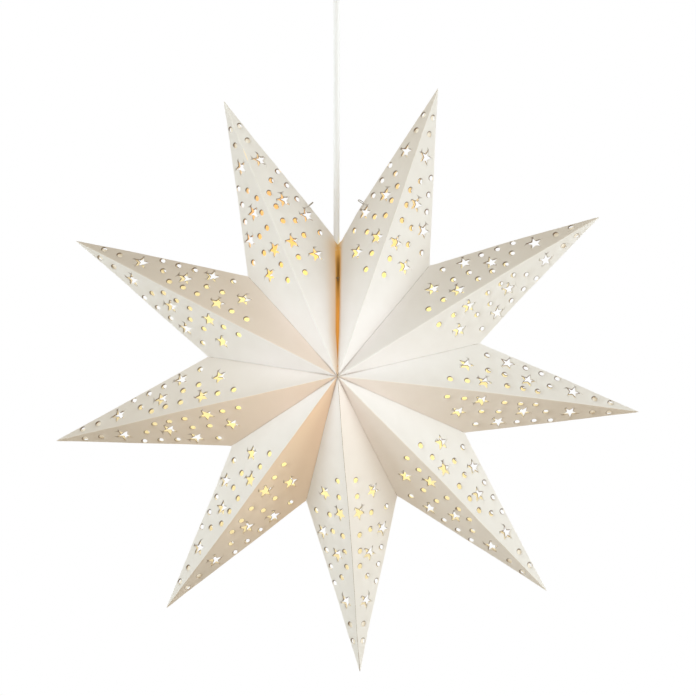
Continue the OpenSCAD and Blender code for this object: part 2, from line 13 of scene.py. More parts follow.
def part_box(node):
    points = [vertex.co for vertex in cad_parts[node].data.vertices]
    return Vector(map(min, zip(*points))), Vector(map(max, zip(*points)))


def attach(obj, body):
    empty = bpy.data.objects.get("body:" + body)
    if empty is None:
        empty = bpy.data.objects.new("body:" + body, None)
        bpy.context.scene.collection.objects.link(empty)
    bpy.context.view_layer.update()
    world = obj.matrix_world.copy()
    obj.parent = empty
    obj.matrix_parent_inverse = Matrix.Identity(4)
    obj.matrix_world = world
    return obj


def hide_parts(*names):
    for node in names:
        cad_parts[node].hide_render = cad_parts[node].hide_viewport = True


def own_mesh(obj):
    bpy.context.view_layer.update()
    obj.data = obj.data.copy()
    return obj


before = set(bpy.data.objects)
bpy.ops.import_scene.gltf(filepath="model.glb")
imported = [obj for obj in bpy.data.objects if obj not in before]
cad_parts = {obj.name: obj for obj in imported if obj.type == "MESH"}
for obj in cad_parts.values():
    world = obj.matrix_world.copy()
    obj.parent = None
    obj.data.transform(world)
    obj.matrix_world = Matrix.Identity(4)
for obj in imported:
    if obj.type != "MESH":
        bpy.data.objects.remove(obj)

MM = 0.001
log = logging.getLogger("paper_star")


def linear(code: str) -> tuple[float, float, float, float]:
    """Turns an sRGB hex colour into linear red, green, blue and alpha.

    Args:
        code: the colour as "#rrggbb".

    Returns:
        Four linear values from 0 to 1, with alpha at 1.
    """
    parts = [int(code[i:i + 2], 16) / 255 for i in (1, 3, 5)]
    bent = [v / 12.92 if v <= 0.04045 else ((v + 0.055) / 1.055) ** 2.4 for v in parts]
    return (bent[0], bent[1], bent[2], 1.0)


def add_node(tree: bpy.types.NodeTree, kind: str, settings: dict | None = None,
             links: dict | None = None) -> bpy.types.Node:
    """Adds a shader node with its settings and its incoming links.

    Args:
        tree: the node tree that gets the node.
        kind: the node's type name.
        settings: values by property name, or by input socket name or number.
        links: output sockets by input socket name or number.

    Returns:
        The new node.
    """
    node = tree.nodes.new(kind)
    for key, value in (settings or {}).items():
        if isinstance(key, str) and hasattr(node, key):
            setattr(node, key, value)
        else:
            node.inputs[key].default_value = value
    for key, socket in (links or {}).items():
        tree.links.new(socket, node.inputs[key])
    return node


def mixed(tree: bpy.types.NodeTree, share: bpy.types.NodeSocket, first: object,
          second: object) -> bpy.types.NodeSocket:
    """Mixes two colours by a share.

    Args:
        tree: the node tree to work in.
        share: the socket that says how much of the second colour shows.
        first: a colour, or a socket that gives one.
        second: a colour, or a socket that gives one.

    Returns:
        The mixed colour's socket.
    """
    node = add_node(tree, "ShaderNodeMix", {"data_type": "RGBA"}, {0: share})
    for place, value in ((6, first), (7, second)):
        if isinstance(value, bpy.types.NodeSocket):
            tree.links.new(value, node.inputs[place])
        else:
            node.inputs[place].default_value = value
    return node.outputs[2]


def seen_rays(tree: bpy.types.NodeTree) -> bpy.types.NodeSocket:
    """Says, as 0 or 1, whether a ray from the camera, a mirror or glass looks at the surface.

    Args:
        tree: the node tree to work in.

    Returns:
        The socket that gives 0 or 1.
    """
    path = add_node(tree, "ShaderNodeLightPath")
    seen = add_node(tree, "ShaderNodeMath", {"operation": "MAXIMUM"},
                    {0: path.outputs["Is Camera Ray"], 1: path.outputs["Is Glossy Ray"]})
    return add_node(tree, "ShaderNodeMath", {"operation": "MAXIMUM"},
                    {0: seen.outputs[0], 1: path.outputs["Is Transmission Ray"]}).outputs[0]


@dataclass(frozen=True)
class Finish:
    """A plain finish with grain, uneven roughness and a fine surface bump."""

    name: str
    light: str
    dark: str
    roughness: float = 0.5
    roughness_spread: float = 0.08
    metallic: float = 0.0
    grain_mm: float = 1.0
    cloud_mm: float = 12.0
    stretch: tuple[float, float, float] = (1.0, 1.0, 1.0)
    bump_mm: float = 0.01
    settings: dict = field(default_factory=dict)

    def make(self) -> bpy.types.Material:
        """Builds the material from its nodes.

        Returns:
            The new material.
        """
        material = bpy.data.materials.new(self.name)
        material.use_nodes = True
        tree = material.node_tree
        shader = tree.nodes["Principled BSDF"]
        place = add_node(tree, "ShaderNodeTexCoord").outputs["Object"]
        place = add_node(tree, "ShaderNodeMapping", {3: self.stretch}, {0: place}).outputs[0]
        cloud = add_node(tree, "ShaderNodeTexNoise",
                         {"Scale": 1 / (self.cloud_mm * MM), "Detail": 3.0}, {"Vector": place})
        grain = add_node(tree, "ShaderNodeTexNoise",
                         {"Scale": 1 / (self.grain_mm * MM), "Detail": 4.0}, {"Vector": place})
        colour = mixed(tree, cloud.outputs["Fac"], linear(self.light), linear(self.dark))
        tree.links.new(colour, shader.inputs["Base Color"])
        rough = add_node(tree, "ShaderNodeMapRange",
                         {3: self.roughness - self.roughness_spread,
                          4: self.roughness + self.roughness_spread}, {0: grain.outputs["Fac"]})
        tree.links.new(rough.outputs[0], shader.inputs["Roughness"])
        bump = add_node(tree, "ShaderNodeBump", {"Strength": 1.0, "Distance": self.bump_mm * MM},
                        {"Height": grain.outputs["Fac"]})
        tree.links.new(bump.outputs[0], shader.inputs["Normal"])
        shader.inputs["Metallic"].default_value = self.metallic
        for key, value in self.settings.items():
            shader.inputs[key].default_value = value
        self.extend(tree, shader)
        return material

    def extend(self, tree: bpy.types.NodeTree, shader: bpy.types.Node) -> None:
        """Lets a special finish add nodes of its own.

        Args:
            tree: the material's node tree.
            shader: its main shader.
        """


@dataclass(frozen=True)
class CardFinish(Finish):
    """Uncoated white card, pressed and die cut, with warm light coming through it.

    Each mark is an attribute of the mesh and the colour that it brings, in the order laid on.
    """

    deep_glow: str = "#c8702a"
    near_glow: str = "#f2b25e"
    least_glow: float = 0.0
    most_glow: float = 0.3
    marks: tuple[tuple[str, str], ...] = ()
    seam_glow: str = "#e79a4c"
    seam_strength: float = 0.0

    def extend(self, tree: bpy.types.NodeTree, shader: bpy.types.Node) -> None:
        """Adds the marks on the card and the light that it lets through.

        Args:
            tree: the material's node tree.
            shader: its main shader.
        """
        base = shader.inputs["Base Color"].links[0].from_socket
        for name, colour in self.marks:
            share = add_node(tree, "ShaderNodeAttribute", {"attribute_name": name})
            base = mixed(tree, share.outputs["Fac"], base, linear(colour))
        tree.links.new(base, shader.inputs["Base Color"])
        glow = add_node(tree, "ShaderNodeAttribute", {"attribute_name": "glow"}).outputs["Fac"]
        light = mixed(tree, glow, linear(self.deep_glow), linear(self.near_glow))
        strength = add_node(tree, "ShaderNodeMapRange", {3: self.least_glow, 4: self.most_glow},
                            {0: glow}).outputs[0]
        # The flaps in the seam get painted glow: an orange emission for the bulb's light coming
        # through them.
        if self.seam_strength:
            seam = add_node(tree, "ShaderNodeAttribute", {"attribute_name": "flap"})
            share = add_node(tree, "ShaderNodeMath",
                             {"operation": "MULTIPLY", "use_clamp": True, 1: 4.0},
                             {0: seam.outputs["Fac"]})
            light = mixed(tree, share.outputs[0], light, linear(self.seam_glow))
            strength = add_node(tree, "ShaderNodeMath",
                                {"operation": "MULTIPLY_ADD", 1: self.seam_strength},
                                {0: seam.outputs["Fac"], 2: strength}).outputs[0]
        tree.links.new(light, shader.inputs["Emission Color"])
        tree.links.new(strength, shader.inputs["Emission Strength"])


@dataclass(frozen=True)
class LitFinish(Finish):
    """A finish that gives light of its own, brighter at the middle than at the rim."""

    light_colour: str = "#ffd9a0"
    strength: float = 1.0
    rim_share: float = 0.45

    def extend(self, tree: bpy.types.NodeTree, shader: bpy.types.Node) -> None:
        """Adds the light.

        Args:
            tree: the material's node tree.
            shader: its main shader.
        """
        shader.inputs["Emission Color"].default_value = linear(self.light_colour)
        facing = add_node(tree, "ShaderNodeLayerWeight", {"Blend": 0.35})
        power = add_node(tree, "ShaderNodeMapRange",
                         {3: self.strength, 4: self.strength * self.rim_share},
                         {0: facing.outputs["Facing"]})
        tree.links.new(power.outputs[0], shader.inputs["Emission Strength"])


@dataclass(frozen=True)
class FloorPaint(Finish):
    """Pale floor paint that looks lighter to the camera than to the object above it."""

    lift: str = "#dbe7ff"
    strength: float = 0.5

    def extend(self, tree: bpy.types.NodeTree, shader: bpy.types.Node) -> None:
        """Adds the light that only the camera, mirrors and glass see.

        Args:
            tree: the material's node tree.
            shader: its main shader.
        """
        shader.inputs["Emission Color"].default_value = linear(self.lift)
        power = add_node(tree, "ShaderNodeMath", {"operation": "MULTIPLY", 1: self.strength},
                         {0: seen_rays(tree)})
        tree.links.new(power.outputs[0], shader.inputs["Emission Strength"])


# Uncoated card scatters light evenly, so it is dull and shows soft clouds from its pulp. Its
# faint glow is painted light from the bulb soaking through two layers. Its marks are a painted
# highlight on the folds, painted shade on panels turned from the lamps, in the valleys and
# beside the seam, painted light and painted shadow in the seam, and singe with painted shade
# on one side of each cut.
CARD_OUTSIDE = CardFinish("uncoated_card", "#f1f0ee", "#ebe9e6", 0.82, 0.06, grain_mm=0.7,
                          cloud_mm=14.0, bump_mm=0.02, deep_glow="#eeeef6",
                          near_glow="#f4f0ff", most_glow=0.145,
                          marks=(("fold", "#f8f7f4"), ("tan", "#d4c9bb"), ("painted_warm_shade", "#f2cfa2"),
                                 ("groove", "#8f7454"), ("seam", "#e6cba6"),
                                 ("painted_seam_glow", "#d8b070"), ("core", "#6c4212"), ("singe_and_rim_shade", "#63492c")),
                          seam_strength=0.4, seam_glow="#cf963a",
                          settings={"Specular IOR Level": 0.3})
# The inside of the card faces the bulb, so it glows yellow near it and orange further off,
# with painted shade in the valleys and the lampholder's painted shadow beside the seam.
CARD_INSIDE = CardFinish("lit_card_inside", "#f3f0e8", "#ece7dc", 0.85, 0.05, grain_mm=0.7,
                         cloud_mm=14.0, bump_mm=0.02, deep_glow="#f0dcbc", near_glow="#f1f478",
                         least_glow=0.18, most_glow=0.58,
                         marks=(("groove", "#dcc29c"), ("painted_holder_shadow", "#f7d6a0")),
                         settings={"Specular IOR Level": 0.2})
# A hot cut leaves the card's core singed, which is browner and rougher than its face.
CARD_CUT = CardFinish("singed_card_edge", "#8f7350", "#7a5f3f", 0.9, 0.05, grain_mm=0.3,
                      cloud_mm=3.0, bump_mm=0.03, deep_glow="#8a5a2c", near_glow="#a8803c",
                      most_glow=0.08, settings={"Specular IOR Level": 0.1})
# Mercerised cotton has a slight sheen along its twist.
THREAD = Finish("mercerised_cotton", "#bdb7ac", "#a49d90", 0.7, 0.1, grain_mm=0.15, cloud_mm=2.0,
                bump_mm=0.03, settings={"Sheen Weight": 0.3, "Sheen Roughness": 0.4})
# The waxed thread that ties the seam is browner than the loops.
WAXED_THREAD = Finish("waxed_cotton", "#a08560", "#8a7050", 0.5, 0.1, grain_mm=0.15, cloud_mm=2.0,
                      bump_mm=0.03)
# Extruded PVC is smooth and semi-gloss, with faint lines along the cord, and a faint cool
# glow that is painted light brightening it.
PVC = Finish("extruded_pvc", "#f6f8fa", "#f0f2f4", 0.38, 0.06, grain_mm=0.6, cloud_mm=9.0,
             stretch=(1.0, 1.0, 0.08), bump_mm=0.006,
             settings={"IOR": 1.53, "Emission Color": linear("#dfe8ff"),
                       "Emission Strength": 0.08})
BROWN_PVC = Finish("brown_core_pvc", "#6a4028", "#56331f", 0.42, 0.06, grain_mm=0.4,
                   cloud_mm=5.0, stretch=(1.0, 1.0, 0.1), bump_mm=0.005, settings={"IOR": 1.53})
BLUE_PVC = Finish("blue_core_pvc", "#4a78b4", "#3c659c", 0.42, 0.06, grain_mm=0.4, cloud_mm=5.0,
                  stretch=(1.0, 1.0, 0.1), bump_mm=0.005, settings={"IOR": 1.53})
# Injection moulded polycarbonate has a fine even texture from its mould and a soft shine.
POLYCARBONATE = Finish("moulded_polycarbonate", "#efeeea", "#e8e6e1", 0.34, 0.07, grain_mm=0.35,
                       cloud_mm=10.0, bump_mm=0.006, settings={"IOR": 1.58})
# Powder coat on steel flows into a faint orange peel.
POWDER_COAT = Finish("powder_coated_steel", "#f0efec", "#eae9e5", 0.42, 0.06, grain_mm=1.6,
                     cloud_mm=20.0, bump_mm=0.02, settings={"IOR": 1.5, "Coat Weight": 0.15,
                                                           "Coat Roughness": 0.2})
# Zinc plating on pressed steel is bright grey with cloudy, rolled streaks.
ZINC = Finish("zinc_plated_steel", "#b9bcc0", "#9fa3a8", 0.36, 0.1, 1.0, grain_mm=0.25,
              cloud_mm=3.0, stretch=(0.15, 1.0, 1.0), bump_mm=0.006)
# Turned and drawn brass is warm and smooth, slightly dulled by handling.
BRASS = Finish("drawn_brass", "#d6b25e", "#b98f41", 0.3, 0.09, 1.0, grain_mm=0.3, cloud_mm=2.5,
               stretch=(1.0, 1.0, 0.25), bump_mm=0.005)
# Nickel plate on the bulb's screw cap is pale and even.
NICKEL = Finish("nickel_plated_brass", "#b9b5ad", "#9d988f", 0.34, 0.08, 1.0, grain_mm=0.3,
                cloud_mm=3.0, bump_mm=0.004)
# Pressed steatite is a matt, off-white ceramic with fine specks.
STEATITE = Finish("pressed_steatite", "#e3ded2", "#d2ccbe", 0.6, 0.1, grain_mm=0.5, cloud_mm=4.0,
                  bump_mm=0.02)
# The ring over the screw cap is fused black glass.
BLACK_GLASS = Finish("fused_black_glass", "#15151a", "#1d1d24", 0.12, 0.05, grain_mm=0.8,
                     cloud_mm=4.0, bump_mm=0.004, settings={"IOR": 1.55})
# Opal glass spreads the light of the sticks over the whole bulb.
OPAL_GLASS = LitFinish("opal_glass", "#f4e8d2", "#f0e0c6", 0.3, 0.05, grain_mm=1.0, cloud_mm=9.0,
                       bump_mm=0.004, settings={"IOR": 1.5, "Transmission Weight": 0.25},
                       light_colour="#ffe6ac", strength=0.55)
CLEAR_GLASS = Finish("clear_flare_glass", "#f4f8f6", "#edf3f0", 0.04, 0.02, grain_mm=1.0,
                     cloud_mm=8.0, bump_mm=0.003,
                     settings={"IOR": 1.5, "Transmission Weight": 1.0})
# Phosphor silicone on the light sticks is yellow and glows when lit.
PHOSPHOR = LitFinish("phosphor_silicone", "#ffdf8c", "#f7cf6e", 0.55, 0.08, grain_mm=0.4,
                     cloud_mm=2.0, bump_mm=0.02, light_colour="#ffe09a", strength=2.0)


class Face(Enum):
    """The face of the star that a panel is on."""

    FRONT = 1.0
    BACK = -1.0


class Side(Enum):
    """The side of a point that a panel is on, as the front shows it."""

    CLOCKWISE = 1.0
    COUNTER = -1.0


def bell(distance: np.ndarray, width: float | np.ndarray) -> np.ndarray:
    """Smooth hump that is 1 at no distance and fades over a width."""
    return np.exp(-(distance / width) ** 2)


def ramp(value: np.ndarray, start: float, run: float) -> np.ndarray:
    """Share that rises from 0 at the start to 1 after the run."""
    return np.clip((value - start) / run, 0, 1)


def rounding(distance: np.ndarray, width: float | np.ndarray) -> np.ndarray:
    """How far card moves in when the sharp fold at a distance is rounded to a width."""
    return (np.sqrt(distance ** 2 + width ** 2) - distance) / 2


def fold_joint(number: int) -> str:
    """The joint that folds a point: right of the cord for points 1 to 4, left for the rest."""
    return "fold_right" if number < 5 else "fold_left"


def stand_in(piece: bpy.types.Object, body: str, node: str) -> None:
    """Puts a piece on its body in place of a solid.

    Args:
        piece: the piece.
        body: the body that it rides on.
        node: the solid that it stands for.
    """
    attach(piece, body)
    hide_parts(node)
    log.info("%s: for %s, on %s", piece.name, node, body)


def new_mesh(name: str, points: np.ndarray, faces: list, finishes: list[bpy.types.Material],
             slots: list[int] | None = None, smooth_deg: float = 35.0) -> bpy.types.Object:
    """Makes a mesh piece from points in millimetres.

    Args:
        name: the piece's name.
        points: rows of x, y and z in millimetres, in the frame of the solids.
        faces: the corner numbers of each face.
        finishes: the piece's materials.
        slots: the material number of each face, or None for the first.
        smooth_deg: edges that bend more than this stay sharp.

    Returns:
        The new object, linked to the scene.
    """
    mesh = bpy.data.meshes.new(name)
    mesh.from_pydata((np.asarray(points) * MM).tolist(), [], faces)
    for finish in finishes:
        mesh.materials.append(finish)
    if slots is not None:
        mesh.polygons.foreach_set("material_index", np.array(slots, np.int32))
    mesh.polygons.foreach_set("use_smooth", np.ones(len(mesh.polygons), bool))
    mesh.set_sharp_from_angle(angle=math.radians(smooth_deg))
    mesh.validate()
    mesh.update()
    piece = bpy.data.objects.new(name, mesh)
    bpy.context.scene.collection.objects.link(piece)
    return piece


def frames_along(path: np.ndarray, closed: bool) -> tuple[np.ndarray, np.ndarray]:
    """Carries two cross directions along a path without twisting them.

    Args:
        path: the path's points.
        closed: whether the last point joins the first.

    Returns:
        The two unit directions square to the path at each point.
    """
    if closed:
        tangent = np.roll(path, -1, 0) - np.roll(path, 1, 0)
    else:
        tangent = np.gradient(path, axis=0)
    tangent /= np.linalg.norm(tangent, axis=1)[:, None]
    start = np.cross(tangent[0], (0.0, 1.0, 0.0) if abs(tangent[0][1]) < 0.8 else (1.0, 0, 0))
    first = [start / np.linalg.norm(start)]
    for direction in tangent[1:]:
        side = first[-1] - direction * (first[-1] @ direction)
        first.append(side / np.linalg.norm(side))
    across = np.array(first)
    return across, np.cross(tangent, across)


def tube(path: np.ndarray, radius: float | np.ndarray, sides: int = 12,
         closed: bool = False) -> tuple[np.ndarray, list]:
    """Sweeps a round tube along a path.

    Args:
        path: the path's points in millimetres.
        radius: the tube's radius, or one for each point.
        sides: how many sides the tube has.
        closed: whether the path is a loop.

    Returns:
        The tube's points and faces.
    """
    path = np.asarray(path, float)
    across, up = frames_along(path, closed)
    turn = np.arange(sides) * 2 * math.pi / sides
    radii = np.broadcast_to(np.asarray(radius, float), (len(path),))[:, None, None]
    ring = np.cos(turn)[None, :, None] * across[:, None] + np.sin(turn)[None, :, None] * up[:, None]
    points = (path[:, None] + radii * ring).reshape(-1, 3)
    faces = []
    count = len(path)
    for i in range(count if closed else count - 1):
        for j in range(sides):
            a, b = i * sides + j, i * sides + (j + 1) % sides
            step = ((i + 1) % count) * sides
            faces.append((a, b, step + (j + 1) % sides, step + j))
    if not closed:
        faces.append(tuple(range(sides - 1, -1, -1)))
        faces.append(tuple((count - 1) * sides + j for j in range(sides)))
    return points, faces


def joined(parts: list[tuple[np.ndarray, list]]) -> tuple[np.ndarray, list]:
    """Puts several shells into one list of points and faces.

    Args:
        parts: the points and faces of each shell.

    Returns:
        All points, and all faces with their numbers moved on.
    """
    points, faces, start = [], [], 0
    for more, its_faces in parts:
        points.append(more)
        faces += [tuple(start + i for i in f) for f in its_faces]
        start += len(more)
    return np.concatenate(points), faces


@dataclass(frozen=True)
class StarShape:
    """Sizes of the folded star in millimetres, the same as those of the solids."""

    points: int = 9
    tip_radius: float = 300.0
    notch_radius: float = 136.0
    half_depth: float = 80.0
    card: float = 0.6
    seam_angle: float = 1.8
    seam_cut: float = 0.25
    glue_gap: float = 0.04
    lean: float = 2.9
    shift: float = 2.5
    tie_z: float = -362.7
    tie_height: float = 107.0
    bulb_in_star: tuple[float, float, float] = (-7.0, 0.0, 18.5)
    flap: float = 8.0
    fold_w: float = 0.4
    valley_w: float = 0.06
    cord_room: float = 3.75
    seam_gap: float = 0.12
    groove_low: float = 1.7
    groove_more: float = 1.5
    # Share of its thickness that a point keeps when the star is folded flat.
    folded_share: float = 0.03

    @property
    def span(self) -> float:
        """Angle between neighbouring tips, in degrees."""
        return (360 - self.seam_angle) / self.points

    def turn(self, number: int) -> float:
        """Angle of one point from straight up, in radians."""
        return math.radians(180 + (number - 5) * self.span)

    def spin(self, number: int) -> np.ndarray:
        """Matrix that turns rows of places from straight up to one point."""
        turn = self.turn(number)
        return np.array([[math.cos(turn), 0, math.sin(turn)], [0, 1, 0],
                         [-math.sin(turn), 0, math.cos(turn)]]).T

    def to_row(self, places: np.ndarray) -> np.ndarray:
        """Moves places from the star's own frame to the frame of the solids.

        Args:
            places: rows of x, y and z, with the star upright and its centre at 0.

        Returns:
            The same rows where the leaning star hangs, in millimetres.
        """
        lean = math.radians(-self.lean)
        x, y, z = places[:, 0], places[:, 1], places[:, 2] - self.tie_height
        return np.stack([self.shift + x * math.cos(lean) + z * math.sin(lean), y,
                         self.tie_z - x * math.sin(lean) + z * math.cos(lean)], 1)

    def flatten(self, piece: bpy.types.Object, number: int, joint: str) -> None:
        """Gives a piece its own copy of its mesh.

        Args:
            piece: the piece.
            number: the point that it belongs to; not used.
            joint: the fold's joint; not used.
        """
        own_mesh(piece)


@dataclass(frozen=True)
class SeamEdge:
    """How the card is finished along one edge of the open seam, in millimetres.

    It rolls in most softly beside the notch, where its corner is rounded off, and painted shade
    tints the card there.
    """

    roll: float
    corner: float
    tint: float
    least_roll: float = 0.3
    roll_power: float = 1.3
    tint_power: float = 1.2
    least_tint: float = 0.6
    corner_width: float = 6.0
    slide_width: float = 17.0
    cord_spare: float = 0.15
    flap_share: float = 0.6
    flap_most: float = 6.0
    # Near the apex the groove closes: the share of the valley left, and how fast it opens.
    groove_end: float = 0.06
    groove_rise: float = 4.2
    groove_least: float = 0.02


class FlatPanel:
    """One flat panel of card before folding, with its cut-outs and the flap at its valley.

    The tip is at the origin, the ridge runs along x and the notch lies on the y side. Sizes are
    in millimetres.
    """

    STARS = ((69.5, 14.3), (117, 22.5), (137.5, 42), (162.5, 13.5), (180.5, 34))
    DOTS = ((29.5, 7), (46.5, 9.5), (94, 18), (107, 9.5), (122.5, 11), (139, 12), (85.5, 29.5),
            (102, 33.5), (118.5, 38.5), (141, 26.5), (158, 29.5), (158.5, 49.5), (180, 13),
            (197.5, 13))
    STAR_R, STAR_INNER_R, DOT_R = 8.3, 3.7, 3.1
    STAR_ARMS, DOT_SIDES = 5, 20
    # Each ring round a cut-out: how far out it lies, how deep it is pressed, and how strong its
    # singe and painted shade are.
    RINGS = ((-0.3, 0.8, 1.0), (0.3, 0.4, 0.9), (0.85, 0.0, 0.0))
    # Where a flap's free edge turns, measured from the apex and then from the notch.
    SEAM_FLAP = ((8, 26), (28, 20, 14, 9))
    GLUED_FLAP = ((5, 30), (14, 4))
    # Rows of places beside the folds, so that the card bends there and not elsewhere.
    SEAM_ROWS = (0.6, 1.4, 2.6, 4.2, 6.2, 8.8, 12, 16)
    FOLD_ROWS = (0.5, 1.2, 2.6)
    FLAP_ROWS = (0.5, 1.2, 2.8, 5.4)
    STEP, GRID, GRID_SIZE, ROW_SHARE = 4.0, 6.5, (330, 80), 0.866
    # Least distance of a new place from the others: on the fold, a rim, a row and the grid.
    FOLD_GAP, RIM_GAP, ROW_GAP, GRID_GAP = 0.25, 0.3, 0.35, 2.6
    # The card runs a little long near the apex, which closes its middle to light.
    CLOSING_FROM, CLOSING_RUN, CLOSING_SHARE = 20, 14, 0.9
    FOLD_END, FAR = 25, 99.0
    TAB_ROWS, TAB_ACROSS, TAB_LAYERS = (5.0, 62.0, 4.0), (0.25, 0.6, 1.0), (1.1, 1.4)
    TAB_SHARE, TAB_MOST = 0.93, 13.0

    def __init__(self, shape: StarShape, seam: SeamEdge | None = None) -> None:
        """Works out the panel's sizes and its triangles.

        Args:
            shape: the star's sizes.
            seam: how the card rolls into the open seam, or None for a glued valley.
        """
        self.shape, self.seam = shape, seam
        half = math.radians(shape.span / 2)
        self.tip = np.array([0, 0, shape.tip_radius])
        notch = shape.notch_radius * np.array([math.sin(half), 0, math.cos(half)])
        apex = np.array([0, -shape.half_depth, 0])
        self.length = np.linalg.norm(apex - self.tip)
        self.ridge = (apex - self.tip) / self.length
        edge = notch - self.tip
        away = edge - (edge @ self.ridge) * self.ridge
        self.away = away / np.linalg.norm(away)
        self.out = np.cross(self.away, self.ridge)
        if self.out[1] > 0:
            self.out = -self.out
        flat_notch = np.array([edge @ self.ridge, edge @ self.away])
        self.edge_dir = flat_notch / np.linalg.norm(flat_notch)
        valley = np.array([self.length, 0]) - flat_notch
        self.valley_dir = valley / np.linalg.norm(valley)
        self.to_panel = np.array([self.valley_dir[1], -self.valley_dir[0]])
        if self.to_panel @ flat_notch > 0:
            self.to_panel = -self.to_panel
        plane = np.array([math.cos(half), 0, -math.sin(half)])
        cos_v = float(self.out @ plane)
        sin_v = math.sqrt(1 - cos_v ** 2)
        gap = shape.seam_cut if seam else shape.glue_gap / 2
        back = (gap + shape.card / 2 * sin_v) / cos_v
        depth = float(-(self.to_panel @ flat_notch))
        scale = 1 - back / depth
        self.closing = self.CLOSING_SHARE * shape.card / 2 * sin_v / cos_v / depth
        self.flat_notch, self.flat_apex = scale * flat_notch, np.array([scale * self.length, 0])
        self.valley_length = np.linalg.norm(self.flat_apex - self.flat_notch)
        out_3d = -(self.to_panel[0] * self.ridge + self.to_panel[1] * self.away)
        self.flap_dir = cos_v * out_3d - sin_v * self.out
        self.in_3d = -out_3d
        self.points, self.triangles, self.rim, self.rim_way = self.cut()

    def valley_gap(self, flat: np.ndarray) -> np.ndarray:
        """Distance of flat places from the valley fold, below zero on the flap."""
        return (flat - self.flat_notch) @ self.to_panel

    def edge_gap(self, flat: np.ndarray) -> np.ndarray:
        """Distance of flat places from the outer edge between tip and notch."""
        return flat[:, 0] * self.edge_dir[1] - flat[:, 1] * self.edge_dir[0]

    def star_outline(self, place: tuple[float, float], grow: float) -> np.ndarray:
        """Outline of a star cut-out, grown by some millimetres, with an arm toward the tip.

        Args:
            place: the cut-out's middle in the flat.
            grow: how far the outline lies outside the cut.

        Returns:
            Its corners and the middles of its sides, in order.
        """
        corners = []
        for i in range(2 * self.STAR_ARMS):
            r = (self.STAR_INNER_R if i % 2 else self.STAR_R) + grow
            turn = math.pi * i / self.STAR_ARMS
            corners.append((-r * math.cos(turn), r * math.sin(turn)))
        corners = np.array(corners)
        middle = (corners + np.roll(corners, -1, 0)) / 2
        return np.stack([corners, middle], 1).reshape(-1, 2) + np.array(place)

    def dot_outline(self, place: tuple[float, float], grow: float) -> np.ndarray:
        """Outline of a round cut-out, grown by some millimetres.

        Args:
            place: the cut-out's middle in the flat.
            grow: how far the outline lies outside the cut.

        Returns:
            Its places, in order.
        """
        turn = np.arange(self.DOT_SIDES) * math.pi / (self.DOT_SIDES / 2)
        return (self.DOT_R + grow) * np.stack([np.cos(turn), np.sin(turn)], 1) + np.array(place)

    def row(self, start: np.ndarray, end: np.ndarray) -> np.ndarray:
        """Evenly spaced places from start to end, counted from the start."""
        count = max(2, round(np.linalg.norm(end - start) / self.STEP))
        return start + (end - start) * np.linspace(0, 1, count + 1)[:, None]

    def flap_outline(self) -> np.ndarray:
        """Free edge of the flap, from the apex end to the notch end.

        Returns:
            Its places in the flat, in order.
        """
        from_apex, from_notch = self.SEAM_FLAP if self.seam else self.GLUED_FLAP
        along = np.concatenate([self.valley_length - np.array(from_apex), from_notch])
        corners = (self.flat_notch + along[:, None] * self.valley_dir
                   - self.flap_depth(along)[:, None] * self.to_panel)
        runs = [self.row(a, b)[:-1] for a, b in zip(corners[:-1], corners[1:])]
        return np.concatenate(runs + [corners[-1:]])

    def flap_depth(self, along: np.ndarray) -> np.ndarray:
        """How deep the flap is at a distance from the notch along the valley.

        Args:
            along: distances from the notch.

        Returns:
            The depth at each, in millimetres.
        """
        (end, full), from_notch = self.SEAM_FLAP if self.seam else self.GLUED_FLAP
        by_apex = np.clip((self.valley_length - end - along) / (full - end), 0, 1)
        if self.seam:
            return np.minimum(self.seam.flap_share * self.cord_depth(along),
                              self.seam.flap_most) * by_apex
        full, end = from_notch
        return self.shape.flap * (by_apex * ramp(along, end, full - end))

    def cord_depth(self, along: np.ndarray) -> np.ndarray:
        """Depth that is free between the seam's fold and the cord, along the valley."""
        return np.maximum(self.shape.half_depth * along / self.valley_length
                          - self.shape.cord_room - self.seam.cord_spare, 0)

    def left(self, along: np.ndarray) -> np.ndarray:
        """Share of the valley left to the apex at a distance from the notch."""
        return np.clip(1 - along / self.valley_length, 0, 1)

    def closed(self, gap: np.ndarray, along: np.ndarray, least: float) -> np.ndarray:
        """How far across the seam's flap a place lies, from the fold at 0 to its edge at 1."""
        return np.clip(-gap / np.maximum(self.flap_depth(along), least), 0, 1)

    @staticmethod
    def outward(outline: np.ndarray) -> np.ndarray:
        """Unit directions out of a closed outline at its corners, in the flat.

        Args:
            outline: its corners, in order.

        Returns:
            A direction for each corner.
        """
        run = np.roll(outline, -1, 0) - np.roll(outline, 1, 0)
        way = np.stack([run[:, 1], -run[:, 0]], 1) / np.linalg.norm(run, axis=1)[:, None]
        return way if ((outline - outline.mean(0)) * way).sum() > 0 else -way

    @staticmethod
    def within(places: np.ndarray, outline: np.ndarray) -> np.ndarray:
        """Says which flat places lie inside a closed outline.

        Args:
            places: the places to test.
            outline: the outline's corners, in order.

        Returns:
            True for each place inside.
        """
        x, y = places[:, 0][:, None], places[:, 1][:, None]
        x0, y0 = outline[:, 0][None], outline[:, 1][None]
        x1, y1 = np.roll(outline[:, 0], -1)[None], np.roll(outline[:, 1], -1)[None]
        crosses = (y0 > y) != (y1 > y)
        rise = np.where(y1 == y0, 1.0, y1 - y0)
        hit = crosses & (x < (x1 - x0) * (y - y0) / rise + x0)
        return hit.sum(1) % 2 == 1

    def on_card(self, places: np.ndarray, outline: np.ndarray, holes: list) -> np.ndarray:
        """Says which flat places lie inside the panel's outline and outside its cut-outs.

        Args:
            places: the places to test.
            outline: the panel's outline.
            holes: the outlines of its cut-outs.

        Returns:
            True for each place on the card.
        """
        inside = self.within(places, outline)
        for hole in holes:
            inside &= ~self.within(places, hole)
        return inside

